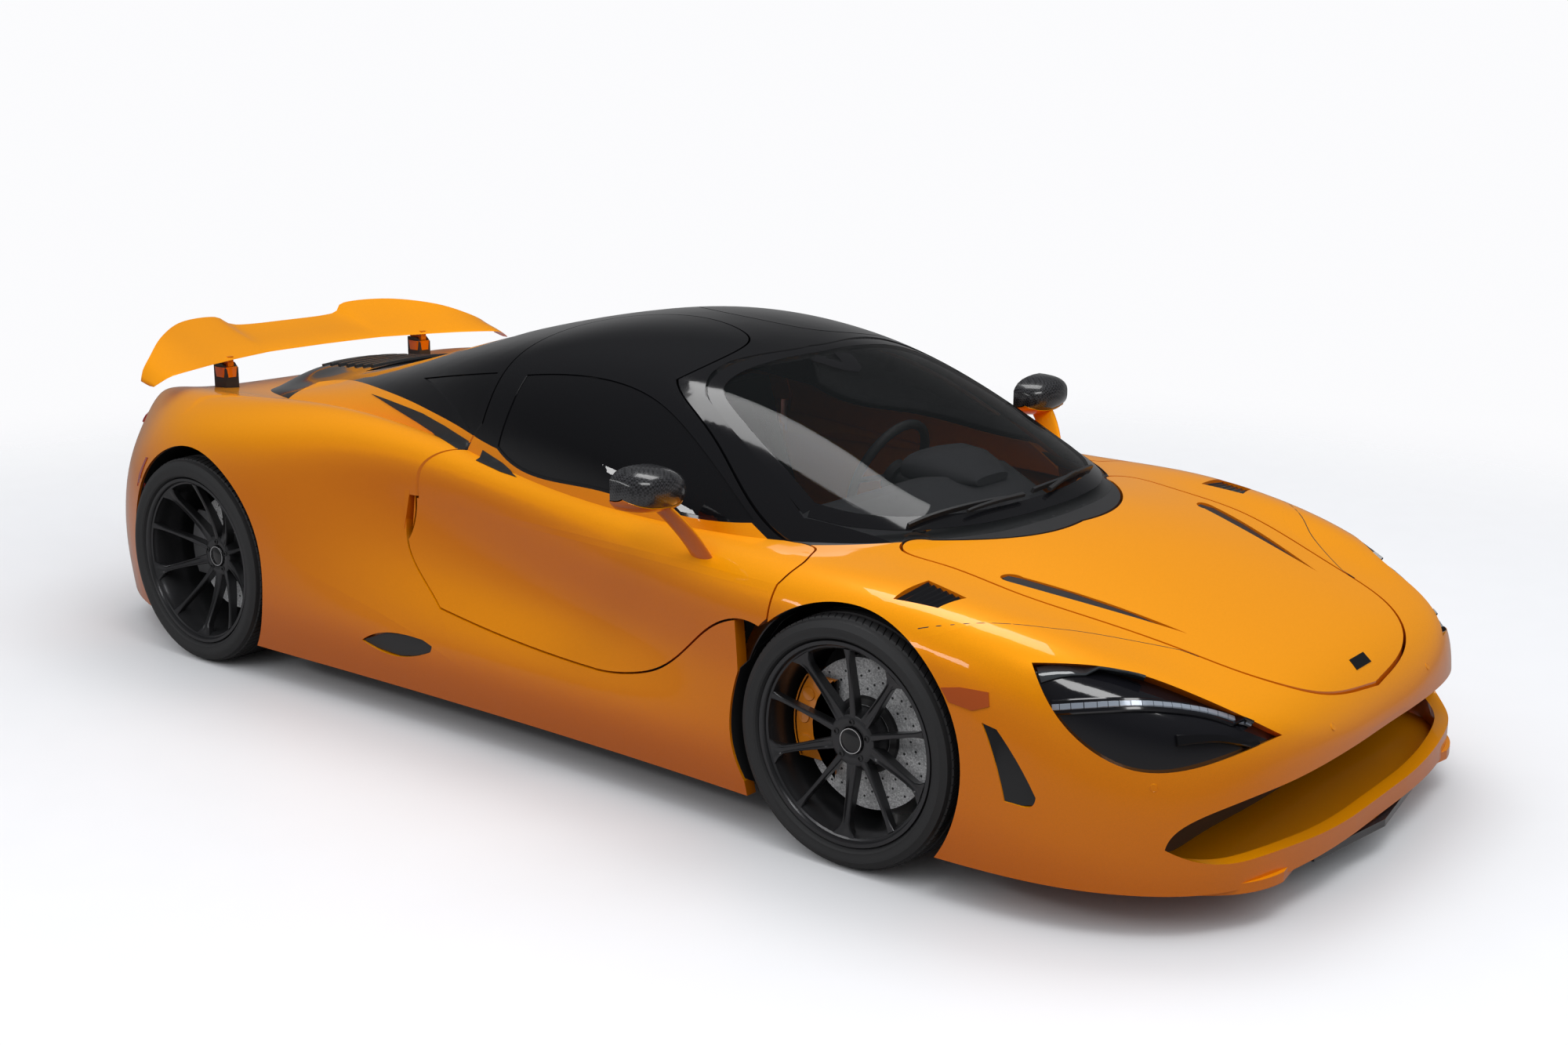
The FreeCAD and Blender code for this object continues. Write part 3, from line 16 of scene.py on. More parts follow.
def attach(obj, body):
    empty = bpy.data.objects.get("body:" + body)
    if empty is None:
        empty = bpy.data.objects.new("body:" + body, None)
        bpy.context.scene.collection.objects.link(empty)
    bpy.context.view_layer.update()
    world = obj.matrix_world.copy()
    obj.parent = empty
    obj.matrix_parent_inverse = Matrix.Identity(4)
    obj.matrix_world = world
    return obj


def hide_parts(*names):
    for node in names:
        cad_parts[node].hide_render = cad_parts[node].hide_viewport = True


bl_info = {
    "name": "Supercar looks",
    "version": (1, 0, 0),
    "blender": (4, 5, 0),
    "location": "View3D > Sidebar > Supercar",
    "description": "Builds the finishes and fine parts of a mid-engine supercar on its packed model",
    "category": "Object",
}

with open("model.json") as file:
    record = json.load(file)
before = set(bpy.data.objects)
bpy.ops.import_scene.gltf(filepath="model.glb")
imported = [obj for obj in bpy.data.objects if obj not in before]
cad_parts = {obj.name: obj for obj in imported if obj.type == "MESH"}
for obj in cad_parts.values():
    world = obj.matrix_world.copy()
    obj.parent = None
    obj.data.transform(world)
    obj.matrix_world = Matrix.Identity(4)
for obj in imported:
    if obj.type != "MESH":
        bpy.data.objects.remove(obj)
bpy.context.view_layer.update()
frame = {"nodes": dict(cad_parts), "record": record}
NODES = frame["nodes"]

MIRRORED = 0.2  # share of the pale background that gloss shows
SIDES = (("right", -1), ("left", 1))
FRONT_AXLE = Vector((1.2505, 0.840, 0.327))
REAR_AXLE = Vector((-1.4195, 0.8145, 0.345))
ACROSS, DOWN, FORWARD = (0, 1, 0), (0, 0, -1), (1, 0, 0)
INWARD = {"right": (0, 1, 0), "left": (0, -1, 0)}
GRAIN_DEPTH = 0.0002
CAMERA_PLACE = (3.907, -4.524, 1.958)
CAMERA_ANGLES = (128.504, -13.501, 0.444)  # yaw, pitch and roll in degrees
STRUT_X, STRUT_Y = -1900, 450
SEAT_Y = 370
MIRROR_X, MIRROR_Y, MIRROR_Z = 592, 968, 886


# Settings
class PaintSettings(bpy.types.PropertyGroup):
    body: FloatVectorProperty(
        name="Body colour", description="Base colour of the pearl paint",
        subtype="COLOR", size=3, min=0, max=1, default=(0.96, 0.34, 0.0))
    # Painted shade: the deeper tone blended onto upright panels to stand for the shade they fall in under the studio
    # light.
    painted_shade: FloatVectorProperty(
        name="Pearl shade", description="Deeper tone of the pearl on upright panels",
        subtype="COLOR", size=3, min=0, max=1, default=(0.68, 0.135, 0.0))
    flake: FloatProperty(
        name="Flake size", description="Size of one metallic flake in the paint",
        subtype="DISTANCE", unit="LENGTH", min=0.0001, max=0.01, default=0.0009)
    caliper: FloatVectorProperty(
        name="Caliper colour", description="Colour of the brake calipers",
        subtype="COLOR", size=3, min=0, max=1, default=(0.83, 0.25, 0.01))


class WheelSettings(bpy.types.PropertyGroup):
    tread_count: IntProperty(
        name="Tread blocks", description="Number of tread blocks round a tyre", min=12, max=160, default=96)


class StageSettings(bpy.types.PropertyGroup):
    floor: FloatVectorProperty(
        name="Floor colour", description="Colour of the studio floor",
        subtype="COLOR", size=3, min=0, max=1, default=(0.79, 0.79, 0.80))
    lens: FloatProperty(
        name="Lens", description="Focal length of the camera", subtype="DISTANCE_CAMERA",
        unit="CAMERA", min=10, max=200, default=43.9)


# Shader groups and materials
def fill(tree, node, inputs):
    """Sets a node's inputs: a node or socket is linked, anything else is a value."""
    for key, value in inputs.items():
        if isinstance(value, bpy.types.Node):
            value = value.outputs[0]
        if isinstance(value, bpy.types.NodeSocket):
            tree.links.new(value, node.inputs[key])
        else:
            node.inputs[key].default_value = value


def add(tree, kind, inputs=None, **settings):
    """New shader node with its settings and inputs."""
    node = tree.nodes.new("ShaderNode" + kind)
    for key, value in settings.items():
        setattr(node, key, value)
    fill(tree, node, inputs or {})
    return node


def math_node(tree, operation, *values):
    return add(tree, "Math", dict(enumerate(values)), operation=operation)


def smooth_range(tree, value, low, high, first, last):
    """Value eased from first to last while it goes from low to high."""
    return add(tree, "MapRange", {"Value": value, "From Min": low, "From Max": high, "To Min": first, "To Max": last},
               interpolation_type="SMOOTHSTEP")


def new_group(name, inputs, outputs):
    """Empty shader node group with named sockets: (name, socket type, default)."""
    group = bpy.data.node_groups.new(name, "ShaderNodeTree")
    for label, kind, value in inputs:
        group.interface.new_socket(name=label, in_out="INPUT", socket_type=kind).default_value = value
    for label in outputs:
        group.interface.new_socket(name=label, in_out="OUTPUT", socket_type="NodeSocketFloat")
    return group, group.nodes.new("NodeGroupInput").outputs, group.nodes.new("NodeGroupOutput")


def grain_group():
    """Fine moulded or brushed grain: a noise of a given scale as a height and a roughness."""
    group, given, end = new_group("surface_grain", [
        ("Scale", "NodeSocketFloat", 900.0), ("Stretch", "NodeSocketVector", (1.0, 1.0, 1.0)),
        ("Roughness", "NodeSocketFloat", 0.5), ("Spread", "NodeSocketFloat", 0.08)], ("Height", "Roughness"))
    place = add(group, "TexCoord").outputs["Object"]
    stretch = add(group, "VectorMath", {0: place, 1: given["Stretch"]}, operation="MULTIPLY")
    noise = add(group, "TexNoise", {"Vector": stretch, "Scale": given["Scale"], "Detail": 4.0})
    wide = add(group, "TexNoise", {"Vector": place, "Scale": 7.0})
    centre = math_node(group, "SUBTRACT", wide.outputs["Fac"], 0.5)
    spread = math_node(group, "MULTIPLY_ADD", centre, given["Spread"], given["Roughness"])
    fill(group, end, {"Height": noise.outputs["Fac"], "Roughness": spread})


def weave_group():
    """Twill weave of carbon fibre: two crossed sets of bands as colour mask and height."""
    group, given, end = new_group("carbon_weave", [("Tow", "NodeSocketFloat", 0.003)], ("Mask", "Height"))
    turned = add(group, "Mapping", {"Vector": add(group, "TexCoord").outputs["Object"], "Rotation": (0.5, 0.3, 0.78)})
    scale = math_node(group, "DIVIDE", 0.5, given["Tow"])
    checker = add(group, "TexChecker", {"Vector": turned, "Scale": scale})
    wave = add(group, "TexWave", {"Vector": turned, "Scale": scale, "Distortion": 0.4})
    fill(group, end, {"Mask": checker.outputs["Fac"], "Height": wave.outputs["Fac"]})


def shader(name, colour, metallic=0.0, roughness=0.5, coat=0.0, coat_roughness=0.03):
    """Material with one Principled shader; returns the material, its tree and the shader."""
    material = bpy.data.materials.new(name)
    material.use_nodes = True
    tree = material.node_tree
    main = tree.nodes["Principled BSDF"]
    fill(tree, main, {"Base Color": (*colour, 1.0), "Metallic": metallic, "Roughness": roughness,
                      "Coat Weight": coat, "Coat Roughness": coat_roughness})
    return material, tree, main


def add_grain(tree, main, scale, roughness, spread=0.08, bump=0.05, stretch=(1.0, 1.0, 1.0)):
    """Grain on a material: bump from its height and a roughness that drifts over the surface."""
    grain = add(tree, "Group", {"Scale": scale, "Stretch": stretch, "Roughness": roughness, "Spread": spread},
                node_tree=bpy.data.node_groups["surface_grain"])
    relief = add(tree, "Bump", {"Height": grain.outputs["Height"], "Strength": bump, "Distance": GRAIN_DEPTH})
    fill(tree, main, {"Normal": relief, "Roughness": grain.outputs["Roughness"]})


def blend(tree, share, first, second):
    """Colour between two colours."""
    return add(tree, "Mix", {"Factor": share, "A": (*first, 1.0), "B": (*second, 1.0)},
               data_type="RGBA").outputs["Result"]


def pearl_paint_with_painted_shade(name, settings):
    """Orange pearl: flakes under a clear coat, with painted light and shade: amber where it faces up and a deeper
    painted shade on upright panels.
    """
    material, tree, main = shader(name, settings.body, 0.2, 0.36, 0.8, 0.02)
    place = add(tree, "TexCoord").outputs
    # Painted light and shade: the facing-up mask blends the base colour from the painted shade on upright panels to
    # amber on top panels.
    split = add(tree, "SeparateXYZ", {"Vector": place["Normal"]})
    upward = smooth_range(tree, split.outputs["Z"], -0.35, 0.85, 0.0, 1.0)
    flakes = add(tree, "TexVoronoi", {"Vector": place["Object"], "Scale": 1.0 / settings.flake})
    value = add(tree, "MapRange", {"Value": flakes.outputs["Color"], "To Min": 0.93, "To Max": 1.1})
    tone = add(tree, "HueSaturation", {"Color": blend(tree, upward, settings.painted_shade, settings.body), "Value": value})
    fill(tree, main, {"Base Color": tone, "Specular IOR Level": 0.35, "Specular Tint": (1.0, 0.55, 0.2, 1.0)})
    return material


def carbon(name, roughness):
    """Black carbon fibre under lacquer."""
    material, tree, main = shader(name, (0.012, 0.012, 0.013), 0.0, roughness, 0.7, 0.06)
    weave = add(tree, "Group", node_tree=bpy.data.node_groups["carbon_weave"]).outputs
    relief = add(tree, "Bump", {"Height": weave["Height"], "Strength": 0.25, "Distance": GRAIN_DEPTH})
    fill(tree, main, {"Normal": relief, "Base Color": blend(
        tree, weave["Mask"], (0.008, 0.008, 0.009), (0.035, 0.035, 0.038))})
    return material


def plain(name, colour, metallic, roughness, coat=0.0, scale=900.0, bump=0.05, spread=0.06, stretch=(1.0, 1.0, 1.0)):
    """Plain finish with fine grain."""
    material, tree, main = shader(name, colour, metallic, roughness, coat)
    add_grain(tree, main, scale, roughness, spread, bump, stretch)
    return material


def tinted_glass(name, colour, alpha):
    """Tinted window glass, seen through as a thin sheet."""
    material, tree, main = shader(name, colour, 0.0, 0.02, 1.0, 0.01)
    fill(tree, main, {"Transmission Weight": 0.0, "Alpha": alpha})
    add_grain(tree, main, 6.0, 0.02, 0.01, 0.01)
    return material


def drilled_disc(name):
    """Carbon-ceramic brake disc: grey, speckled."""
    material, tree, main = shader(name, (0.3, 0.3, 0.31), 0.2, 0.45)
    specks = add(tree, "TexVoronoi", {"Vector": add(tree, "TexCoord").outputs["Object"], "Scale": 260.0})
    ramp = add(tree, "ValToRGB", {"Fac": specks.outputs["Color"]})
    ramp.color_ramp.elements[0].color = (0.32, 0.32, 0.325, 1.0)
    ramp.color_ramp.elements[1].color = (0.85, 0.85, 0.85, 1.0)
    fill(tree, main, {"Base Color": ramp})
    return material


def make_materials(scene):
    """All finishes, by name."""
    grain_group()
    weave_group()
    paint = scene.supercar_paint
    return {
        "paint": pearl_paint_with_painted_shade("pearl_paint_with_painted_shade", paint),
        "gloss_black": plain("gloss_black", (0.006, 0.006, 0.007), 0.0, 0.08, 0.3, 40.0, 0.01, 0.02),
        "satin_black": plain("satin_black", (0.018, 0.018, 0.019), 0.0, 0.42, 0.1, 1400.0, 0.12),
        "carbon": carbon("carbon_fibre", 0.25),
        "suede": plain("suede", (0.035, 0.035, 0.038), 0.0, 0.95, 0.0, 2600.0, 0.5, 0.05),
        "leather": plain("leather", (0.02, 0.02, 0.021), 0.0, 0.55, 0.0, 700.0, 0.35),
        "glass": tinted_glass("tinted_glass", (0.01, 0.012, 0.013), 0.22),
        "privacy_glass": tinted_glass("privacy_glass", (0.004, 0.004, 0.005), 0.9),
        "cast_alloy": plain("cast_alloy", (0.36, 0.36, 0.37), 0.9, 0.5, 0.0, 500.0, 0.3),
        "steel": plain("brushed_steel", (0.5, 0.49, 0.47), 1.0, 0.3, 0.0, 300.0, 0.15, 0.1, (1.0, 12.0, 1.0)),
        "rubber": plain("tyre_rubber", (0.022, 0.022, 0.023), 0.0, 0.6, 0.0, 1500.0, 0.3, 0.12),
        "wheel_black": plain("wheel_black", (0.055, 0.055, 0.058), 0.75, 0.3, 0.2, 1200.0, 0.04),
        "disc": drilled_disc("ceramic_disc"),
        "caliper": plain("caliper_paint", paint.caliper, 0.0, 0.28, 0.8, 200.0, 0.02),
        "lamp_black": plain("lamp_black", (0.006, 0.006, 0.008), 0.0, 0.12, 0.8, 80.0, 0.01),
        "lamp_red": plain("lamp_red", (0.35, 0.01, 0.008), 0.0, 0.15, 1.0, 60.0, 0.02),
        "amber": plain("amber_lens", (0.42, 0.07, 0.004), 0.0, 0.12, 0.6, 60.0, 0.02),
        "lamp_glass": plain("lamp_glass", (0.05, 0.055, 0.06), 0.2, 0.08, 1.0, 60.0, 0.02),
        "led": plain("led_lens", (0.32, 0.36, 0.42), 0.3, 0.15, 0.6, 120.0, 0.03),
        "chrome": plain("chrome", (0.7, 0.7, 0.71), 1.0, 0.12, 0.0, 100.0, 0.02),
    }


SLOT_FINISH = {
    "paint": "paint", "black_trim": "gloss_black", "carbon_tub": "satin_black", "suede": "suede",
    "leather": "leather", "lamp": "lamp_black", "glass": "glass", "cast_alloy": "cast_alloy",
    "steel": "steel", "tyre": "rubber", "wheel_black": "wheel_black", "disc": "disc",
}
NODE_FINISH = {
    "wheel_liners": "satin_black", "diffuser": "carbon", "cowl": "satin_black",
    "door_glass_right": "privacy_glass", "door_glass_left": "privacy_glass",
    "quarter_windows": "privacy_glass", "rear_window": "privacy_glass",
    "wing_struts": "satin_black", "front_grille": "satin_black", "tail_lamps": "lamp_red",
    "front_knuckle_right": "satin_black", "front_knuckle_left": "satin_black",
    "mirror_right": "carbon", "mirror_left": "carbon", "front_lip": "carbon", "seat_right": "leather",
    "seat_left": "leather",
}
# Finishes by name, made on first use
FINISHES = {}


def finish_of(name):
    if not FINISHES:
        FINISHES.update(make_materials(bpy.context.scene))
    return FINISHES[name]


def set_finish(obj, name):
    """Gives an object one finish."""
    obj.data.materials.clear()
    obj.data.materials.append(finish_of(name))


# Mesh helpers
def mm(*values):
    """Point given in millimetres, in metres."""
    return Vector(values) / 1000.0


def piece_from(bm, name, body, finish, smooth=35.0):
    """Object from a bmesh that rides on a body, with its finish and faces smooth up to an angle."""
    bmesh.ops.remove_doubles(bm, verts=bm.verts, dist=1e-5)
    bmesh.ops.recalc_face_normals(bm, faces=bm.faces)
    mesh = bpy.data.meshes.new(name)
    bm.to_mesh(mesh)
    bm.free()
    obj = bpy.data.objects.new(name, mesh)
    bpy.context.scene.collection.objects.link(obj)
    mesh.shade_smooth()
    mesh.set_sharp_from_angle(angle=math.radians(smooth))
    set_finish(obj, finish)
    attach(obj, body)
    return obj


def chain(bm, points, closed=True):
    """Run of edges through points: its vertices and edges."""
    verts = [bm.verts.new(p) for p in points]
    pairs = list(zip(verts, verts[1:])) + ([(verts[-1], verts[0])] if closed else [])
    return verts, [bm.edges.new(pair) for pair in pairs]


def loft(bm, rings):
    """Closed rings bridged one to the next, with flat caps."""
    runs = [chain(bm, ring) for ring in rings]
    for first, second in zip(runs, runs[1:]):
        bmesh.ops.bridge_loops(bm, edges=first[1] + second[1])
    bm.faces.new(runs[0][0])
    bm.faces.new(runs[-1][0])


def turn(bm, points, centre, axis, steps, closed=True, angle=math.tau):
    """Profile turned about an axis."""
    verts, edges = chain(bm, points, closed)
    full = abs(angle - math.tau) < 1e-6
    bmesh.ops.spin(bm, geom=verts + edges, cent=centre, axis=axis, dvec=(0, 0, 0), angle=angle,
                   steps=steps, use_merge=full, use_duplicate=False)


def skin_of(*names):
    """Search tree over the faces of one or more carried-over parts."""
    points, faces = [], []
    for name in names:
        mesh = NODES[name].data
        start = len(points)
        points.extend(v.co.copy() for v in mesh.vertices)
        faces.extend([start + i for i in p.vertices] for p in mesh.polygons)
    return BVHTree.FromPolygons(points, faces)


def landing(skin, point, ray=None):
    """Place and outward normal on a skin: nearest to a point, or where a ray from outside meets it."""
    if ray is None:
        place, normal = skin.find_nearest(point)[:2]
        return place, normal
    ray = Vector(ray)
    place, normal = skin.ray_cast(point - 3.0 * ray, ray)[:2]
    if place is None:
        return landing(skin, point)
    return place, -normal if normal.dot(ray) > 0 else normal


def smooth_run(points, step):
    """Even points along a smooth line through the given ones."""
    last = len(points) - 1
    out = []
    for i in range(last):
        a, b, c, d = points[max(0, i - 1)], points[i], points[i + 1], points[min(last, i + 2)]
        parts = max(1, round((c - b).length / step))
        for k in range(parts):
            t = k / parts
            out.append(0.5 * (2 * b + (c - a) * t + (2 * a - 5 * b + 4 * c - d) * t ** 2
                              + (3 * b - a - 3 * c + d) * t ** 3))
    out.append(points[-1].copy())
    return out


def ribbon(name, skin, path, width, height, finish, ray=None, step=0.03, lift=0.0, taper=1.0):
    """Strip with rounded edges that follows a line over a fixed skin."""
    places = [landing(skin, p, ray) for p in smooth_run([mm(*p) for p in path], step)]
    rings = []
    count = len(places)
    for i, (place, normal) in enumerate(places):
        before = places[max(0, i - 1)][0]
        after = places[min(count - 1, i + 1)][0]
        across = normal.cross(after - before).normalized()
        share = 1.0 + (taper - 1.0) * i / max(1, count - 1)
        half = width * share / 2000.0
        low, high = lift / 1000.0, (lift + height) / 1000.0
        rings.append([place + across * a + normal * b for a, b in (
            (-half, low - 0.001), (-half, (low + high) / 2), (-half * 0.8, high), (half * 0.8, high),
            (half, (low + high) / 2), (half, low - 0.001))])
    bm = bmesh.new()
    loft(bm, rings)
    return piece_from(bm, name, "chassis", finish)


def patch(name, skin, outline, height, finish, body="chassis", ray=None, cell=0.02):
    """Thin plate of a given outline that lies on a skin."""
    bm = bmesh.new()
    verts, _ = chain(bm, [mm(*p) for p in outline])
    bm.faces.new(verts)
    bmesh.ops.triangulate(bm, faces=list(bm.faces))
    for _ in range(5):
        long = [e for e in bm.edges if e.calc_length() > cell]
        if not long:
            break
        bmesh.ops.subdivide_edges(bm, edges=long, cuts=1)
        bmesh.ops.triangulate(bm, faces=list(bm.faces))
    outward = Vector()
    for vert in bm.verts:
        place, normal = landing(skin, vert.co, ray)
        outward += normal
        vert.co = place + normal * height / 1000.0
    for face in bm.faces:
        face.normal_update()
        if face.normal.dot(outward) < 0:
            face.normal_flip()
    bmesh.ops.solidify(bm, geom=list(bm.faces), thickness=(height + 1.0) / 1000.0)
    return piece_from(bm, name, body, finish)


def plug(name, skin, outline, depth, finish, ray, body="chassis", reach=8.0):
    """Plate that closes a hole at a depth under the skin around it; the ray is the way in."""
    ray = Vector(ray)
    flat = [mm(*p) for p in outline]
    flat = [p - ray * p.dot(ray) for p in flat]
    middle = sum(flat, Vector()) / len(flat)
    turning = sum(((a - middle).cross(b - middle) for a, b in zip(flat, flat[1:] + flat[:1])), Vector()).dot(ray)
    bm = bmesh.new()
    verts = []
    for i, point in enumerate(flat):
        along = (flat[(i + 1) % len(flat)] - flat[i - 1]).normalized()
        outward = along.cross(ray) * (1.0 if turning > 0 else -1.0)
        place, _ = landing(skin, point + outward * reach / 1000.0, ray)
        verts.append(bm.verts.new(point + ray * (place.dot(ray) + depth / 1000.0)))
    bmesh.ops.triangulate(bm, faces=[bm.faces.new(verts)])
    for face in bm.faces:
        face.normal_update()
        if face.normal.dot(ray) > 0:
            face.normal_flip()
    bmesh.ops.solidify(bm, geom=list(bm.faces), thickness=0.002)
    return piece_from(bm, name, body, finish)


def boss(bm, skin, point, profile):
    """Small turned form that stands on a skin: profile of (radius, height) in millimetres."""
    place, normal = landing(skin, mm(*point))
    side = normal.orthogonal().normalized()
    points = [place + side * (r / 1000.0) + normal * (h / 1000.0) for r, h in profile]
    turn(bm, points, place, normal, 20, closed=False)


def wheel_point(wheel, side, out, radius, angle=0.0):
    """Point at a distance outwards from mid-wheel, at a radius and angle from the top, in millimetres."""
    return Vector((wheel.x + math.sin(angle) * radius / 1000.0, side * (wheel.y + out / 1000.0),
                   wheel.z + math.cos(angle) * radius / 1000.0))


def round_wheel(bm, wheel, side, profile, steps, closed=True, sweep=math.tau, start=0.0):
    """Profile of (distance outwards, radius) turned about a wheel's axle."""
    points = [wheel_point(wheel, side, out, radius, start) for out, radius in profile]
    turn(bm, points, Vector((wheel.x, 0, wheel.z)), ACROSS, steps, closed, sweep)


def round_stub(bm, middle, side, profile, steps):
    """Profile of (distance outwards, radius) turned about a line across the car."""
    points = [middle + Vector((radius / 1000.0, side * out / 1000.0, 0)) for out, radius in profile]
    turn(bm, points, middle, ACROSS, steps, closed=False)


def squared_ring(steps, power_c, power_s):
    """Cosines and sines round a squared circle."""
    angles = [math.tau * k / steps for k in range(steps)]
    return [(math.copysign(abs(math.cos(a)) ** power_c, math.cos(a)),
             math.copysign(abs(math.sin(a)) ** power_s, math.sin(a))) for a in angles]


# End, axle, tyre radius and width, rim radius, wheel face, disc radius
WHEELS = (
    ("front", FRONT_AXLE, 327.0, 245.0, 259.0, 76.0, 197.0),
    ("rear", REAR_AXLE, 345.0, 305.0, 271.5, 58.0, 190.0),
)


class SUPERCAR_OT_tyres(bpy.types.Operator):
    """Tyres with ribs, tread blocks and stepped side walls"""
    bl_idname = "supercar.tyres"
    bl_label = "Tyres"

    def execute(self, context):
        steps = context.scene.supercar_wheel.tread_count
        for end, wheel, radius, width, rim, _, _ in WHEELS:
            half = width / 2
            shoulder = half - 22
            ribs = [-0.62 * shoulder, -0.2 * shoulder, 0.2 * shoulder, 0.62 * shoulder]

            def crown(out):
                return radius - 4.0 * (out / shoulder) ** 2

            tread = [(-shoulder, crown(shoulder))]
            for out in ribs:
                tread += [(out - 4.5, crown(out - 4.5)), (out - 3, crown(out) - 6), (out + 3, crown(out) - 6),
                          (out + 4.5, crown(out + 4.5))]
            tread.append((shoulder, crown(shoulder)))
            wall = [(half - 9, radius - 12), (half - 2, radius - 26), (half - 0.4, (radius + rim) / 2 + 6),
                    (half - 0.6, (radius + rim) / 2), (half - 1.2, rim + 30), (half - 4, rim + 20),
                    (half - 3.4, rim + 17), (half - 7, rim + 12), (half - 17, rim + 8), (half - 20, rim + 5.3),
                    (half - 32, rim - 6)]
            profile = tread + wall + [(-o, r) for o, r in reversed(wall)]
            for label, side in SIDES:
                bm = bmesh.new()
                round_wheel(bm, wheel, side, profile, steps)
                centre = Vector((wheel.x, side * wheel.y, wheel.z))
                middles = [(face, face.calc_center_median() - centre) for face in bm.faces]
                blocks = [face for face, mid in middles if math.hypot(mid.x, mid.z) * 1000.0 > radius - 6
                          and abs(mid.y) * 1000.0 > 0.62 * shoulder + 5]
                roots = {v for face in blocks for v in face.verts}
                bmesh.ops.inset_individual(bm, faces=blocks, thickness=0.0032, depth=0.0)
                for vert in roots:
                    arm = vert.co - centre
                    arm.y = 0
                    vert.co -= arm.normalized() * 0.0045
                for vert in bm.verts:
                    arm = vert.co - centre
                    if arm.length > (radius - 40) / 1000.0:
                        slant = max(0.0, abs(arm.y) * 1000.0 - 0.3 * shoulder) / half * 0.16
                        vert.co = centre + Matrix.Rotation(slant, 3, "Y") @ arm
                obj = piece_from(bm, f"{end}_tyre_tread_{label}", f"wheel_{end}_{label}", "rubber", smooth=28.0)
                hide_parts(f"{end}_tyre_{label}")
        return {"FINISHED"}


class SUPERCAR_OT_wheels(bpy.types.Operator):
    """Ten-spoke wheels: stepped lip, grooved wide spokes between slim ones, cap and bolts"""
    bl_idname = "supercar.wheels"
    bl_label = "Wheels"

    def execute(self, context):
        for end, wheel, _, width, rim, face, _ in WHEELS:
            half = width / 2 - 12
            barrel = [(-half, rim + 5), (-half, rim - 14), (-half + 25, rim - 22), (half - 34, rim - 22),
                      (half - 24, rim - 17), (half - 14, rim - 15), (half - 11, rim - 10), (half - 3, rim - 8),
                      (half, rim - 5), (half, rim + 4), (half - 2, rim + 5), (half - 8, rim + 5),
                      (half - 20, rim - 6.3), (20 - half, rim - 6.3), (8 - half, rim + 5)]
            hub = [(face - 60, 26), (face - 60, 78), (face - 30, 76), (face - 9, 66), (face - 5, 58),
                   (face - 6, 40), (face - 9, 35), (face - 22, 34), (face - 22, 26)]
            for label, side in SIDES:
                body = f"wheel_{end}_{label}"
                bm = bmesh.new()
                for profile in (barrel, hub):
                    round_wheel(bm, wheel, side, profile, 96)
                for i in range(10):
                    wide = i % 2 == 1
                    angle = math.radians(36 * i)
                    across = Vector((math.cos(angle), 0, -math.sin(angle)))
                    rings = []
                    for share in (0.0, 0.12, 0.3, 0.5, 0.7, 0.84, 0.92, 1.0):
                        radius = 46 + share * (rim - 16 - 46)
                        out = face - 7 + (half - 12 - face + 7) * share ** 1.5
                        flare = max(0.0, share - 0.8) / 0.2
                        if wide:
                            w = 17 - 7 * min(1.0, share / 0.6) + 24 * flare ** 2
                            dent = 5.0 * min(1.0, 4 * share) * (1 - flare)
                        else:
                            w = 9.5 - 3.5 * min(1.0, share / 0.6) + 5 * flare ** 2
                            dent = 0.0
                        deep = 36 - 12 * share
                        base = wheel_point(wheel, side, 0, radius, angle)
                        section = [(-w, -4), (-w + 2, -0.8), (-0.62 * w, 0), (-0.4 * w, -dent), (0.4 * w, -dent),
                                   (0.62 * w, 0), (w - 2, -0.8), (w, -4), (0.8 * w, -deep), (-0.8 * w, -deep)]
                        rings.append([base + across * (a / 1000.0) + Vector((0, side * (out + b) / 1000.0, 0))
                                      for a, b in section])
                    loft(bm, rings)
                obj = piece_from(bm, f"{end}_wheel_{label}", body, "wheel_black")
                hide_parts(f"{end}_rim_{label}")

                bm = bmesh.new()
                cap = [(face - 22, 33), (face - 5, 33), (face - 2.5, 31), (face - 3.5, 28), (face - 1.5, 22),
                       (face, 8), (face, 0.5)]
                round_wheel(bm, wheel, side, cap, 48, closed=False)
                piece_from(bm, f"{end}_wheel_cap_{label}", body, "gloss_black")
                bm = bmesh.new()
                ring = [(face - 6, 33.2), (face - 1.4, 32.6), (face - 1.4, 30.8), (face - 6, 30.2)]
                round_wheel(bm, wheel, side, ring, 48)
                piece_from(bm, f"{end}_cap_ring_{label}", body, "chrome")
                bm = bmesh.new()
                for i in range(5):
                    bolt = [(face - 20, 8.5), (face - 3.5, 8.5), (face - 2, 7), (face - 2, 5), (face - 9, 4.6),
                            (face - 9, 0.3)]
                    round_stub(bm, wheel_point(wheel, side, 0, 49, math.radians(72 * i)), side, bolt, 12)
                piece_from(bm, f"{end}_wheel_bolts_{label}", body, "satin_black")
        return {"FINISHED"}


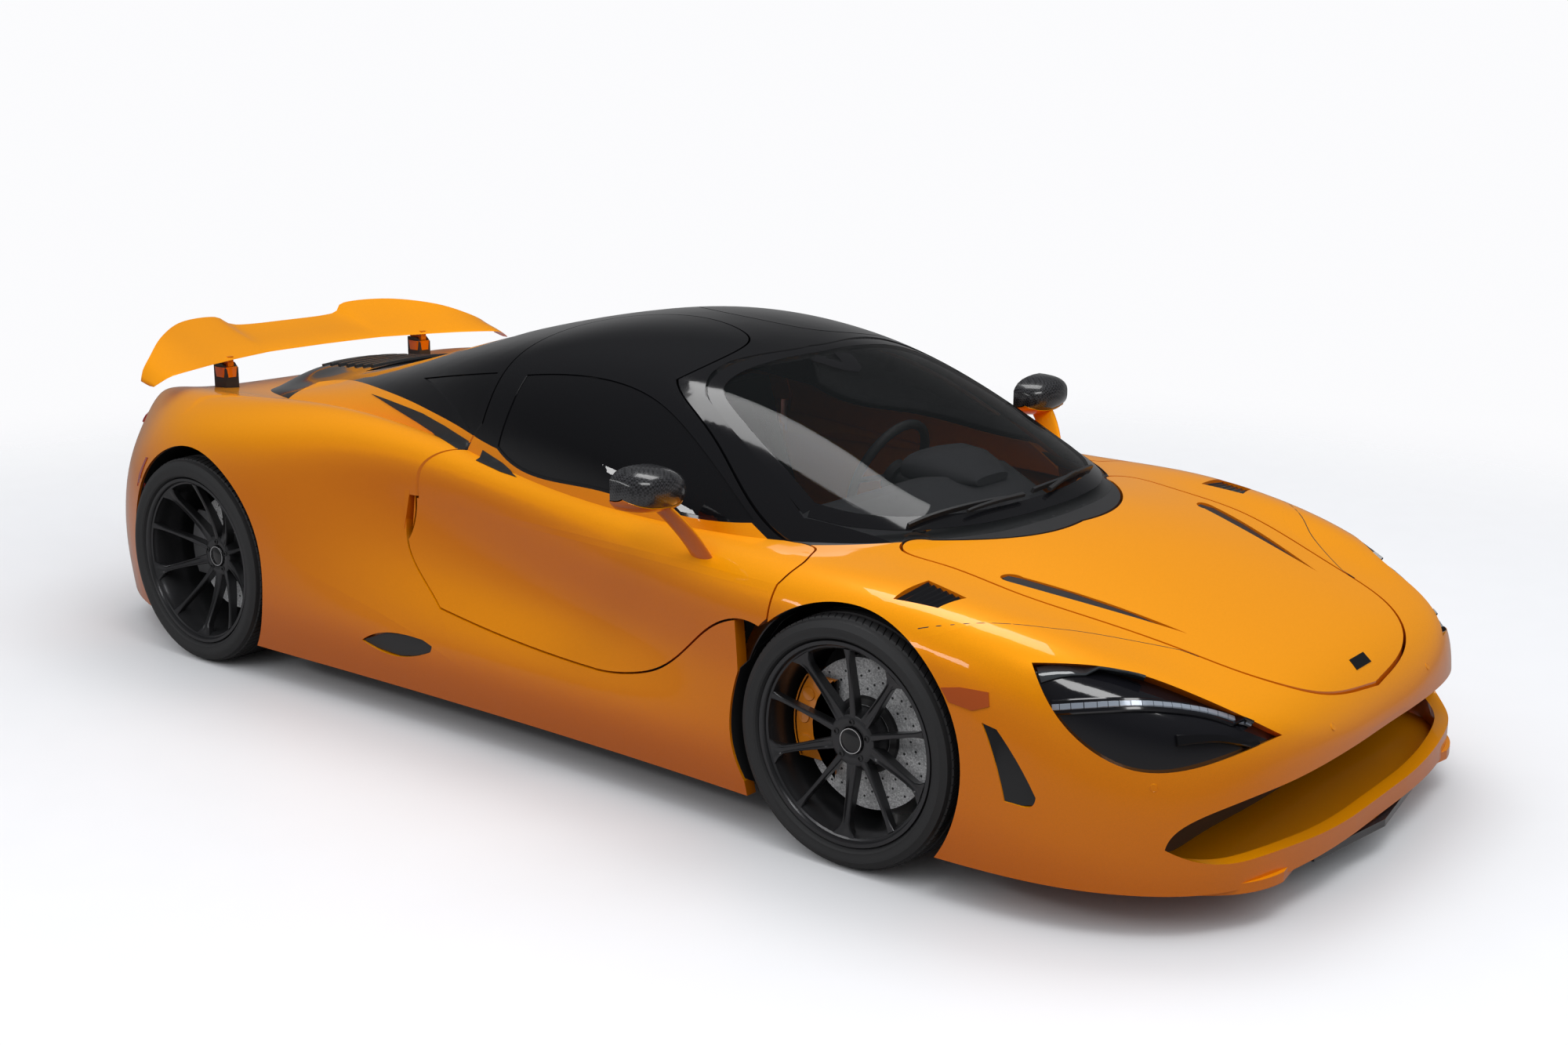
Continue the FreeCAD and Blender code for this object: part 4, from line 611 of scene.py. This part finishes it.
class SUPERCAR_OT_brakes(bpy.types.Operator):
    """Discs with dark dots of painted shade for drilled holes, dark bells, and painted front calipers"""
    bl_idname = "supercar.brakes"
    bl_label = "Brakes"

    def execute(self, context):
        for end, wheel, _, _, _, face, disc in WHEELS:
            outer = face - 71
            for label, side in SIDES:
                # Painted shade: flush dark dots on the disc face stand for the shade inside the drilled holes.
                bm = bmesh.new()
                rows = ((118, 0.0), (134, 0.35), (150, 0.7), (166, 1.05), (182, 1.4))
                for i in range(14):
                    for radius, lean in rows:
                        middle = wheel_point(wheel, side, outer, radius, math.radians(360 / 14 * (i + lean)))
                        round_stub(bm, middle, side, ((-0.5, 3.6), (0.3, 3.4), (0.2, 0.3)), 10)
                piece_from(bm, f"{end}_disc_holes_{label}", f"wheel_{end}_{label}", "satin_black")
                bm = bmesh.new()
                bell = [(face - 60.5, 40), (face - 60.5, 79), (outer + 1, 92), (outer + 1, 100), (outer - 2, 101)]
                round_wheel(bm, wheel, side, bell, 60, closed=False)
                piece_from(bm, f"{end}_disc_bell_{label}", f"wheel_{end}_{label}", "satin_black")
                if end == "rear":
                    continue
                top, low, big, small, edge = 126.5, -96.5, disc + 19.5, 152.0, -86.0
                reach = math.sqrt(small ** 2 - edge ** 2)
                outline = [(-math.sqrt(big ** 2 - z ** 2), z) for z in (
                    top + (low - top) * k / 12 for k in range(13))]
                outline.append((edge, low))
                outline += [(-math.sqrt(small ** 2 - z ** 2), z) for z in (
                    -reach + 2 * reach * k / 8 for k in range(9))]
                outline.append((edge, top))
                bm = bmesh.new()
                flat = [Vector((wheel.x + x / 1000.0, side * (wheel.y + (outer + 9) / 1000.0), wheel.z + z / 1000.0))
                        for x, z in outline]
                verts, _ = chain(bm, flat)
                base = bm.faces.new(verts)
                made = bmesh.ops.extrude_face_region(bm, geom=[base], use_keep_orig=True)["geom"]
                top_verts = [g for g in made if isinstance(g, bmesh.types.BMVert)]
                for vert in top_verts:
                    vert.co.y += side * 0.012
                top_face = [g for g in made if isinstance(g, bmesh.types.BMFace)]
                bmesh.ops.bevel(bm, geom=list({e for f in top_face for e in f.edges}), offset=0.004, segments=3,
                                affect="EDGES", profile=0.5, material=-1)
                for angle in (-66, -86, -106):
                    at_x, at_z = math.sin(math.radians(angle)) * 184, math.cos(math.radians(angle)) * 184
                    middle = Vector((wheel.x + at_x / 1000.0, side * (wheel.y + (outer + 20) / 1000.0),
                                     wheel.z + at_z / 1000.0))
                    round_stub(bm, middle, side, ((-3, 20), (2, 19), (4, 17), (4, 0.3)), 28)
                first = math.atan2(-math.sqrt(big ** 2 - top ** 2), top)
                sweep = math.atan2(-math.sqrt(big ** 2 - low ** 2), low) - first
                bridge = [(outer + 21, big - 9), (outer + 21, big), (outer - 56, big), (outer - 56, big - 4),
                          (outer + 9, big - 4)]
                round_wheel(bm, wheel, side, bridge, 20, sweep=sweep, start=first)
                piece_from(bm, f"front_caliper_{label}", f"knuckle_{label}", "caliper")
        return {"FINISHED"}


def both(path):
    """A run of points on the right, and its mirror on the left."""
    return (("right", list(path)), ("left", [(x, -y, z) for x, y, z in path]))


class SUPERCAR_OT_lamps(bpy.types.Operator):
    """Headlamp bowls: light bar of segments, projectors, lower fin; side markers and sensors"""
    bl_idname = "supercar.lamps"
    bl_label = "Lamps"

    def execute(self, context):
        bar = ((1797, -880, 526), (1881, -822, 534), (1975, -736, 530), (2066, -643, 510), (2146, -572, 482))
        low = ((2043, -741, 464), (2114, -660, 462), (2180, -590, 440))
        eye = ((1745, -856, 586), (1800, -806, 600), (1871, -742, 596), (1936, -703, 580))
        for (label, bar_run), (_, low_run), (_, eye_run) in zip(both(bar), both(low), both(eye)):
            skin = skin_of("front_bumper", f"headlamp_{label}")
            ribbon(f"headlamp_bezel_{label}", skin, bar_run, 36, 6, "lamp_black", lift=1)
            run = smooth_run([mm(*p) for p in bar_run], 0.0235)
            for k, (a, b) in enumerate(zip(run, run[1:])):
                cell = [tuple(1000 * (a + (b - a) * t)) for t in (0.03, 0.5, 0.97)]
                ribbon(f"light_bar_{k}_{label}", skin, cell, 15, 5, "led", lift=6, step=0.008)
            ribbon(f"headlamp_fin_{label}", skin, low_run, 26, 10, "gloss_black", lift=3, taper=0.5)
            ribbon(f"headlamp_shelf_{label}", skin, eye_run, 40, 5, "lamp_glass", lift=2, taper=0.7)
            bm = bmesh.new()
            for point in (eye_run[1], eye_run[2]):
                boss(bm, skin, point, ((9, -4), (9, 5), (8, 6.5), (5, 7), (0.3, 7)))
            piece_from(bm, f"projectors_{label}", "chassis", "lamp_glass")
        marker = ((1542, -957, 540), (1590, -949, 549), (1660, -936, 548), (1667, -941, 516), (1627, -950, 500),
                  (1566, -958, 510))
        for label, run in both(marker):
            skin = skin_of("front_bumper", f"fender_{label}")
            patch(f"side_marker_{label}", skin, run, 2.5, "amber")
        for label, run in both(((2033, -817, 371), (2236, -307, 423))):
            skin = skin_of("front_bumper")
            bm = bmesh.new()
            for point in run:
                boss(bm, skin, point, ((10, -1), (10, 0.4), (9, 0.7), (8.4, 0.2), (7.8, 0.7), (0.3, 0.8)))
            piece_from(bm, f"park_sensors_{label}", "chassis", "paint")
        reflector = ((-1700, -935, 655), (-1716, -932, 655), (-1760, -915, 580), (-1768, -905, 530), (-1752, -912, 530),
                     (-1735, -922, 590))
        for label, run in both(reflector):
            skin = skin_of(f"quarter_{label}")
            patch(f"rear_marker_{label}", skin, run, 2.5, "lamp_red")
        return {"FINISHED"}


class SUPERCAR_OT_vents(bpy.types.Operator):
    """Dark inserts in the ducts, side intakes and bonnet slits, slats in the fender louvres and rear deck, and a
    painted plate in the door pillar notch
    """
    bl_idname = "supercar.vents"
    bl_label = "Vents"

    def execute(self, context):
        duct = ((1652, -950, 476), (1690, -950, 466), (1722, -930, 428), (1758, -920, 384), (1796, -910, 322),
                (1790, -910, 302), (1762, -910, 296), (1722, -920, 300), (1702, -925, 356), (1690, -930, 395),
                (1672, -940, 438))
        sill = ((-578, -955, 238), (-473, -955, 279), (-370, -955, 289), (-300, -955, 286), (-272, -955, 270),
                (-282, -955, 254), (-340, -955, 233), (-413, -955, 218), (-520, -955, 223))
        slit = ((1883, -386, 620), (1750, -418, 640), (1600, -462, 660), (1480, -502, 680), (1447, -520, 685),
                (1444, -545, 685), (1480, -556, 680), (1600, -514, 660), (1750, -448, 640))
        for (label, a), (_, b), (_, c) in zip(both(duct), both(sill), both(slit)):
            plug(f"brake_duct_{label}", skin_of("front_bumper"), a, 5, "gloss_black", INWARD[label])
            panel = skin_of(f"sill_{label}", f"quarter_{label}", f"door_{label}")
            plug(f"sill_duct_{label}", panel, b, 6, "satin_black", INWARD[label])
            lid = skin_of("bonnet", f"fender_{label}", "front_bumper")
            plug(f"bonnet_slit_{label}", lid, c, 5, "satin_black", DOWN, "bonnet")
        hole = ((1352, -882), (1352, -738), (1474, -759), (1459, -857))
        for label, side in SIDES:
            skin = skin_of(f"fender_{label}", "bonnet", "front_bumper")
            centre = Vector((1409, -809, 0))
            corners_at = []
            for x, y in hole:
                out = Vector((x, y, 0)) + (Vector((x, y, 0)) - centre).normalized() * 9
                place, _ = landing(skin, Vector((out.x / 1000, side * -out.y / 1000, 0.7)), DOWN)
                corners_at.append(Vector((x / 1000, side * -y / 1000, place.z - 0.012)))
            bm = bmesh.new()
            loft(bm, [corners_at, [p - Vector((0, 0, 0.004)) for p in corners_at]])
            for k in range(6):
                left = corners_at[0].lerp(corners_at[3], (k + 0.5) / 6)
                right = corners_at[1].lerp(corners_at[2], (k + 0.5) / 6)
                lean = Vector((-0.012, 0, 0.010))
                loft(bm, [[p, p + Vector((0.003, 0, 0)), p + lean + Vector((0.003, 0, 0)), p + lean]
                          for p in (left, right)])
            piece_from(bm, f"fender_slats_{label}", "chassis", "gloss_black", smooth=20.0)
        notch = ((-464, -860, 706), (-440, -860, 716), (-421, -860, 706), (-419, -860, 650), (-427, -860, 600),
                 (-444, -860, 575), (-460, -860, 590))
        for label, run in both(notch):
            plug(f"door_pillar_{label}", skin_of(f"quarter_{label}", f"door_{label}"), run, 0, "paint", INWARD[label],
                 reach=6)
        intake = ((-953, -567, 905), (-781, -625, 908), (-567, -687, 904), (-426, -724, 888), (-290, -754, 864),
                  (-240, -762, 855), (-240, -796, 826), (-386, -759, 850), (-577, -700, 876), (-759, -643, 894))
        fore = ((-212, -767, 848), (-113, -784, 826), (-34, -805, 799), (-100, -806, 806), (-212, -797, 823))
        for (label, a), (_, b) in zip(both(intake), both(fore)):
            patch(f"side_intake_{label}", skin_of(f"quarter_{label}"), a, 2, "satin_black", cell=0.03)
            patch(f"door_intake_{label}", skin_of(f"door_{label}"), b, 2, "satin_black", f"door_{label}", cell=0.03)
        deck = skin_of("roof", "engine_cover")
        for k in range(7):
            x = -1400 - 52 * k
            reach = 175 - 5 * k
            run = [(x - abs(t) * 26, reach * t, 900) for t in (-1, -0.6, 0, 0.6, 1)]
            ribbon(f"deck_slat_{k}", deck, run, 20, 7, "satin_black", DOWN, step=0.04)
        return {"FINISHED"}


class SUPERCAR_OT_trim(bpy.types.Operator):
    """Screen border, cowl strip, mirror mount, wipers, badge plate, wing seams and arch linings"""
    bl_idname = "supercar.trim"
    bl_label = "Trim"

    def execute(self, context):
        screen = skin_of("windscreen")
        border = ((905, -640, 900), (797, -618, 900), (627, -578, 900), (470, -512, 900), (418, -400, 900),
                  (416, -180, 900), (424, 0, 900))
        for label, run in both(border):
            ribbon(f"screen_border_{label}", screen, run, 46, 0.4, "gloss_black", DOWN, lift=0.2)
        foot = ((905, -640, 900), (1010, -585, 860), (1120, -480, 820), (1200, -330, 800), (1235, -170, 780),
                (1245, 0, 780), (1235, 170, 780), (1200, 330, 800), (1120, 480, 820), (1010, 585, 860), (905, 640, 900))
        ribbon("screen_foot", screen, foot, 50, 0.4, "gloss_black", DOWN, lift=0.2)
        ribbon("mirror_mount", screen, ((470, -70, 1050), (560, 0, 1000), (470, 70, 1050)), 60, 0.5, "gloss_black",
               DOWN, lift=0.2)
        wipers = (
            ("right", ((1120, -500, 800), (1165, -330, 800), (1200, -150, 800)), ((1215, -90, 790), (1190, -330, 800))),
            ("left", ((1205, -20, 800), (1190, 200, 800), (1150, 400, 800)), ((1225, 30, 790), (1185, 240, 800))))
        for name, blade, arm in wipers:
            ribbon(f"wiper_blade_{name}", screen, blade, 9, 14, "satin_black", DOWN, lift=2)
            ribbon(f"wiper_arm_{name}", screen, arm, 13, 9, "satin_black", DOWN, lift=14, taper=0.6)
        plate = ((2184, 46, 0), (2158, 52, 0), (2158, -36, 0), (2184, -46, 0))
        plug("badge_plate", skin_of("bonnet", "front_bumper"), plate, -2, "gloss_black", DOWN, "bonnet", reach=0)
        seam = ((1451, -924, 658), (1523, -886, 673), (1600, -822, 677), (1680, -737, 663), (1756, -635, 639),
                (1863, -530, 608), (1952, -455, 582))
        for label, run in both(seam):
            ribbon(f"wing_seam_{label}", skin_of(f"fender_{label}", "front_bumper"), run, 3.0, 0.3, "satin_black",
                   lift=-0.1)
        for end, wheel, reach in (("front", FRONT_AXLE, 358.0), ("rear", REAR_AXLE, 383.0)):
            for label, side in SIDES:
                panels = skin_of(f"fender_{label}", f"sill_{label}", f"quarter_{label}", "front_bumper", "rear_bumper",
                                 f"door_{label}")
                bm = bmesh.new()
                rings = []
                for k in range(61):
                    angle = math.radians(-122 + 244 * k / 60)
                    probe = wheel_point(wheel, side, 0, reach + 7, angle)
                    place, _ = landing(panels, probe, (0, -side, 0))
                    edge = side * place.y * 1000.0 - 7
                    rings.append([wheel_point(wheel, side, out - wheel.y * 1000.0, radius, angle) for out, radius in (
                        (edge, reach + 1), (edge, reach - 1.2), (edge - 150, reach - 1.2), (edge - 150, reach + 1))])
                loft(bm, rings)
                piece_from(bm, f"{end}_arch_lining_{label}", "chassis", "satin_black")
        return {"FINISHED"}


class SUPERCAR_OT_tail(bpy.types.Operator):
    """Dark mesh between the tail lamps, lamp strips and exhaust trims"""
    bl_idname = "supercar.tail"
    bl_label = "Tail"

    def execute(self, context):
        skin = skin_of("rear_bumper")
        outline = [(0, y, z) for y, z in ((-560, 575), (-600, 640), (-585, 690), (585, 690), (600, 640), (560, 575))]
        patch("tail_mesh_back", skin, outline, 1.5, "satin_black", ray=FORWARD, cell=0.06)
        for k in range(9):
            z = 583 + 12.5 * k
            for side in (-1, 1):
                run = [(0, side * y, z) for y in (225, 330, 450, 570)]
                ribbon(f"tail_mesh_{k}_{side + 1}", skin, run, 5, 5, "gloss_black", FORWARD, step=0.08, lift=1)
        for label, side in SIDES:
            run = [(0, side * y, z) for y, z in ((380, 712), (500, 714), (620, 712), (690, 700))]
            ribbon(f"tail_strip_{label}", skin_of("rear_bumper", "tail_lamps"), run, 12, 5, "lamp_red", FORWARD,
                   step=0.04, lift=1)
            place, _ = landing(skin, Vector((0, side * 0.235, 0.650)), FORWARD)
            middle = Vector((place.x, side * 0.15, 0.648))
            bm = bmesh.new()
            points = [middle + Vector((a / 1000.0, 0, r / 1000.0)) for a, r in (
                (30, 54), (-6, 58), (-12, 61), (-12, 66), (-4, 69), (4, 69))]
            turn(bm, points, middle, FORWARD, 48, closed=False)
            piece_from(bm, f"exhaust_trim_{label}", "chassis", "steel")
        return {"FINISHED"}


class SUPERCAR_OT_wing(bpy.types.Operator):
    """Smooth wing blade with swept tips, on painted strut collars"""
    bl_idname = "supercar.wing"
    bl_label = "Wing"

    def execute(self, context):
        half = smooth_run([Vector(row) for row in (
            (0, -1912, -2140, 917, 988), (225, -1902, -2145, 917, 992), (300, -1892, -2165, 916, 1026),
            (480, -1852, -2110, 912, 1030), (640, -1800, -2000, 908, 1003), (755, -1776, -1908, 899, 952),
            (800, -1780, -1882, 882, 916), (821, -1788, -1864, 869, 886))], 20.0)
        stations = [(-y, a, b, c, d) for y, a, b, c, d in reversed(half[1:])] + [tuple(row) for row in half]
        bm = bmesh.new()
        rings = []
        for y, lead, trail, low, high in stations:
            chord, rise = lead - trail, high - low
            ring = []
            thin = 1 - 0.7 * (abs(y) / 822) ** 6
            for u, thick in ((0, 0), (0.02, 4), (0.08, 8), (0.2, 12), (0.35, 13), (0.6, 9), (0.85, 5), (1, 4)):
                ring.append(mm(lead - u * chord, y, low + rise * u ** 1.3 + thick * thin - 4 * u))
            for u, thick in ((1, 5), (0.85, 5), (0.6, 8), (0.35, 9), (0.2, 4), (0.08, 2), (0.02, 1)):
                ring.append(mm(lead - u * chord, y, low + rise * u ** 1.3 - thick * thin - 4 * u))
            rings.append(ring)
        loft(bm, rings)
        for y in (-STRUT_Y, STRUT_Y):
            lug = [(-1870, 924), (-1870, 890), (-1885, 878), (-1915, 878), (-1930, 890), (-1956, 930)]
            loft(bm, [[mm(x, y + edge, z) for x, z in lug] for edge in (-12, 12)])
        obj = piece_from(bm, "wing_blade", "wing", "paint", smooth=50.0)
        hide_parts("wing")
        for label, side in SIDES:
            bm = bmesh.new()
            rings = []
            for z, along_x, along_y in ((850, 36.2, 28.2), (876, 37.5, 29.5), (886, 38.5, 30.5)):
                rings.append([mm(STRUT_X + along_x * c, side * STRUT_Y + along_y * s, z)
                              for c, s in squared_ring(24, 0.5, 0.5)])
            loft(bm, rings)
            piece_from(bm, f"strut_collar_{label}", "wing_struts", "paint")
        return {"FINISHED"}


class SUPERCAR_OT_mirrors(bpy.types.Operator):
    """Mirror heads: squared carbon caps over painted skirts"""
    bl_idname = "supercar.mirrors"
    bl_label = "Mirrors"

    def execute(self, context):
        for label, side in SIDES:
            shell, skirt = bmesh.new(), bmesh.new()
            caps, bases = [], []
            for share in (-0.96, -0.9, -0.75, -0.5, -0.2, 0.15, 0.5, 0.75, 0.9, 0.96):
                narrow = (1 - abs(share) ** 2.8) ** (1 / 2.8)
                y = side * (MIRROR_Y + 110 * share)
                drop = 8 * share
                ring, base = [], []
                for k in range(24):
                    angle = math.pi * k / 23 - math.pi / 2
                    c, s = math.cos(angle), math.sin(angle)
                    rise = 60 * narrow * math.copysign(abs(s) ** 0.8, s)
                    ring.append(mm(MIRROR_X + 118 * narrow * abs(c) ** 0.8, y, MIRROR_Z + drop + rise))
                caps.append(ring)
                for k in range(10):
                    angle = -math.pi / 2 + 0.95 * k / 9
                    c, s = math.cos(angle), math.sin(angle)
                    fall = 62.5 * narrow * abs(s) ** 0.8
                    base.append(mm(MIRROR_X + 121 * narrow * abs(c) ** 0.8, y, MIRROR_Z - 0.5 + drop - fall))
                inner = [p + Vector((-0.004, 0, 0.004)) for p in reversed(base)]
                bases.append(base + inner)
            loft(shell, caps)
            loft(skirt, bases)
            obj = piece_from(shell, f"mirror_cap_{label}", f"door_{label}", "carbon", smooth=50.0)
            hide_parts(f"mirror_{label}")
            piece_from(skirt, f"mirror_skirt_{label}", f"door_{label}", "paint", smooth=50.0)
            glass = bmesh.new()
            ring = [mm(MIRROR_X - 0.8, side * (MIRROR_Y + 96 * c), MIRROR_Z + 48 * s)
                    for c, s in squared_ring(32, 0.75, 0.8)]
            loft(glass, [ring, [p + Vector((0.001, 0, 0)) for p in ring]])
            piece_from(glass, f"mirror_glass_{label}", f"door_{label}", "chrome")
        return {"FINISHED"}


# Section of a seat pad: piping, dip and bolsters
PAD_SECTION = ((-1, -0.5), (-0.92, 0.5), (-0.6, 0.95), (-0.5, 0.8), (0, 1.0), (0.5, 0.8), (0.6, 0.95), (0.92, 0.5),
               (1, -0.5), (0.5, -0.6), (-0.5, -0.6))


class SUPERCAR_OT_cabin(bpy.types.Operator):
    """Instrument pod and padded seats"""
    bl_idname = "supercar.cabin"
    bl_label = "Cabin"

    def execute(self, context):
        bm = bmesh.new()
        rings = []
        for x, wide, tall, mid in ((575, 118, 26, 742), (590, 150, 44, 744), (650, 165, 56, 746), (720, 160, 52, 742),
                                   (790, 130, 34, 730), (830, 90, 14, 722)):
            rings.append([mm(x, SEAT_Y + wide * c, mid + tall * s) for c, s in squared_ring(28, 0.7, 0.8)])
        loft(bm, rings)
        piece_from(bm, "instrument_pod", "chassis", "suede")
        for label, side in SIDES:
            mid = SEAT_Y * side
            for part, rings in (
                    ("cushion", [[(x, mid + a * w, z + b * t) for a, b in PAD_SECTION] for x, z, w, t in (
                        (-50, 300, 118, 14), (-20, 304, 140, 30), (90, 306, 148, 36), (200, 312, 148, 38),
                        (290, 322, 142, 34), (325, 316, 124, 18))]),
                    ("backrest", [[(x + b * t * 0.95, mid + a * w, z + b * t * 0.3) for a, b in PAD_SECTION]
                                  for x, z, w, t in (
                        (-52, 330, 118, 14), (-62, 370, 136, 30), (-110, 520, 140, 34), (-160, 680, 128, 32),
                        (-196, 800, 108, 30), (-212, 852, 80, 16))])):
                bm = bmesh.new()
                loft(bm, [[mm(*p) for p in ring] for ring in rings])
                pad = piece_from(bm, f"seat_{part}_{label}", "chassis", "suede", smooth=60.0)
                soft = pad.modifiers.new("soft", "SUBSURF")
                soft.levels = soft.render_levels = 2
        return {"FINISHED"}




def background_rays(tree, walls=1.0):
    """Mask of the rays that see the pale background: all of it, and dimmer in gloss, up to the dark ceiling."""
    path = add(tree, "LightPath").outputs
    direct = math_node(tree, "MAXIMUM", path["Is Camera Ray"], path["Is Transmission Ray"])
    gloss = math_node(tree, "MULTIPLY", math_node(tree, "MULTIPLY", path["Is Glossy Ray"], MIRRORED), walls)
    return math_node(tree, "MAXIMUM", direct, gloss)


class SUPERCAR_OT_stage(bpy.types.Operator):
    """Camera at the photograph's angle, pale floor and soft studio light"""
    bl_idname = "supercar.stage"
    bl_label = "Stage"

    def execute(self, context):
        scene = context.scene
        settings = scene.supercar_stage
        scene.view_settings.view_transform = "Standard"
        data = bpy.data.cameras.new("camera")
        data.sensor_fit = "HORIZONTAL"
        data.sensor_width = 36.0
        data.lens = settings.lens
        camera = bpy.data.objects.new("camera", data)
        scene.collection.objects.link(camera)
        yaw, pitch, roll = (math.radians(angle) for angle in CAMERA_ANGLES)
        ahead = Vector((math.cos(pitch) * math.cos(yaw), math.cos(pitch) * math.sin(yaw), math.sin(pitch)))
        level = ahead.cross(Vector((0, 0, 1))).normalized()
        up = level.cross(ahead)
        across = math.cos(roll) * level + math.sin(roll) * up
        top = -math.sin(roll) * level + math.cos(roll) * up
        facing = Matrix((across, top, -ahead)).transposed().to_4x4()
        camera.matrix_world = Matrix.Translation(CAMERA_PLACE) @ facing
        scene.camera = camera

        bm = bmesh.new()
        bmesh.ops.create_grid(bm, x_segments=2, y_segments=2, size=40.0)
        mesh = bpy.data.meshes.new("floor")
        bm.to_mesh(mesh)
        bm.free()
        floor = bpy.data.objects.new("floor", mesh)
        scene.collection.objects.link(floor)
        material, tree, main = shader("studio_floor", settings.floor, 0.0, 0.5)
        add_grain(tree, main, 30.0, 0.5, 0.1, 0.02)
        length = add(tree, "VectorMath", {0: add(tree, "TexCoord").outputs["Object"]}, operation="LENGTH")
        fade = smooth_range(tree, length.outputs["Value"], 3.0, 6.5, 1.0, 0.0)
        tone = blend(tree, background_rays(tree), (0.2, 0.19, 0.185), settings.floor)
        fill(tree, main, {"Alpha": fade, "Base Color": tone})
        mesh.materials.append(material)

        world = bpy.data.worlds.new("studio")
        world.use_nodes = True
        scene.world = world
        tree = world.node_tree
        tree.nodes.clear()
        upward = add(tree, "SeparateXYZ", {"Vector": add(tree, "TexCoord").outputs["Generated"]}).outputs["Z"]
        gloss = add(tree, "LightPath").outputs["Is Glossy Ray"]
        dim = add(tree, "MapRange", {"Value": gloss, "To Min": 1.0, "To Max": 0.05})
        strength = math_node(tree, "MULTIPLY", smooth_range(tree, upward, -0.02, 0.8, 0.12, 1.32), dim)
        soft = add(tree, "Background", {"Color": (0.95, 0.97, 1.0, 1.0), "Strength": strength})
        pale = add(tree, "Background", {"Color": (0.97, 0.97, 0.985, 1.0), "Strength": 1.0})
        walls = smooth_range(tree, upward, 0.05, 0.5, 1.0, 0.05)
        mix = add(tree, "MixShader", {"Fac": background_rays(tree, walls), 1: soft, 2: pale})
        tree.links.new(mix.outputs["Shader"], add(tree, "OutputWorld").inputs["Surface"])

        for name, place, aim, size, power in (
                ("over", (-0.1, 1.5, 5.4), (0.0, 1.3, 0.6), (2.8, 2.2), 69.0),
                ("key", (3.6, -1.6, 5.6), (1.2, -0.4, 0.6), (3.0, 1.4), 71.0),
                ("side", (-1.6, -6.0, 3.6), (-0.4, -0.6, 0.6), (5.0, 0.5), 52.0)):
            lamp = bpy.data.lights.new(name, "AREA")
            lamp.shape = "RECTANGLE"
            lamp.size, lamp.size_y = size
            lamp.energy = power
            obj = bpy.data.objects.new(name, lamp)
            scene.collection.objects.link(obj)
            obj.location = place
            obj.rotation_euler = (Vector(aim) - Vector(place)).to_track_quat("-Z", "Y").to_euler()
        return {"FINISHED"}


class SUPERCAR_OT_finishes(bpy.types.Operator):
    """Finishes of the carried-over parts"""
    bl_idname = "supercar.finishes"
    bl_label = "Finishes"

    def execute(self, context):
        for part in frame["record"]["subparts"]:
            name = part["node"]
            set_finish(NODES[name], NODE_FINISH.get(name) or SLOT_FINISH[part["material_slot"]])
        return {"FINISHED"}


class SUPERCAR_PT_panel(bpy.types.Panel):
    """Sidebar panel with the settings and the steps"""
    bl_idname = "SUPERCAR_PT_panel"
    bl_label = "Supercar"
    bl_space_type = "VIEW_3D"
    bl_region_type = "UI"
    bl_category = "Supercar"

    def draw(self, context):
        layout = self.layout
        for group in (context.scene.supercar_paint, context.scene.supercar_wheel, context.scene.supercar_stage):
            box = layout.box()
            for key in group.bl_rna.properties.keys():
                if key not in {"rna_type", "name"}:
                    box.prop(group, key)
        for operator in OPERATORS:
            layout.operator(operator.bl_idname)


OPERATORS = (
    SUPERCAR_OT_finishes, SUPERCAR_OT_tyres, SUPERCAR_OT_wheels, SUPERCAR_OT_brakes, SUPERCAR_OT_lamps,
    SUPERCAR_OT_vents, SUPERCAR_OT_trim, SUPERCAR_OT_tail, SUPERCAR_OT_wing, SUPERCAR_OT_mirrors, SUPERCAR_OT_cabin,
    SUPERCAR_OT_stage,
)
CLASSES = (PaintSettings, WheelSettings, StageSettings, *OPERATORS, SUPERCAR_PT_panel)


def register():
    for cls in CLASSES:
        bpy.utils.register_class(cls)
    bpy.types.Scene.supercar_paint = PointerProperty(type=PaintSettings)
    bpy.types.Scene.supercar_wheel = PointerProperty(type=WheelSettings)
    bpy.types.Scene.supercar_stage = PointerProperty(type=StageSettings)


def unregister():
    del bpy.types.Scene.supercar_stage
    del bpy.types.Scene.supercar_wheel
    del bpy.types.Scene.supercar_paint
    for cls in reversed(CLASSES):
        bpy.utils.unregister_class(cls)


def main():
    register()
    bpy.ops.supercar.finishes()
    bpy.ops.supercar.tyres()
    bpy.ops.supercar.wheels()
    bpy.ops.supercar.brakes()
    bpy.ops.supercar.lamps()
    bpy.ops.supercar.vents()
    bpy.ops.supercar.trim()
    bpy.ops.supercar.tail()
    bpy.ops.supercar.wing()
    bpy.ops.supercar.mirrors()
    bpy.ops.supercar.cabin()
    bpy.ops.supercar.stage()
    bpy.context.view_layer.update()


if __name__ == "__main__":
    main()
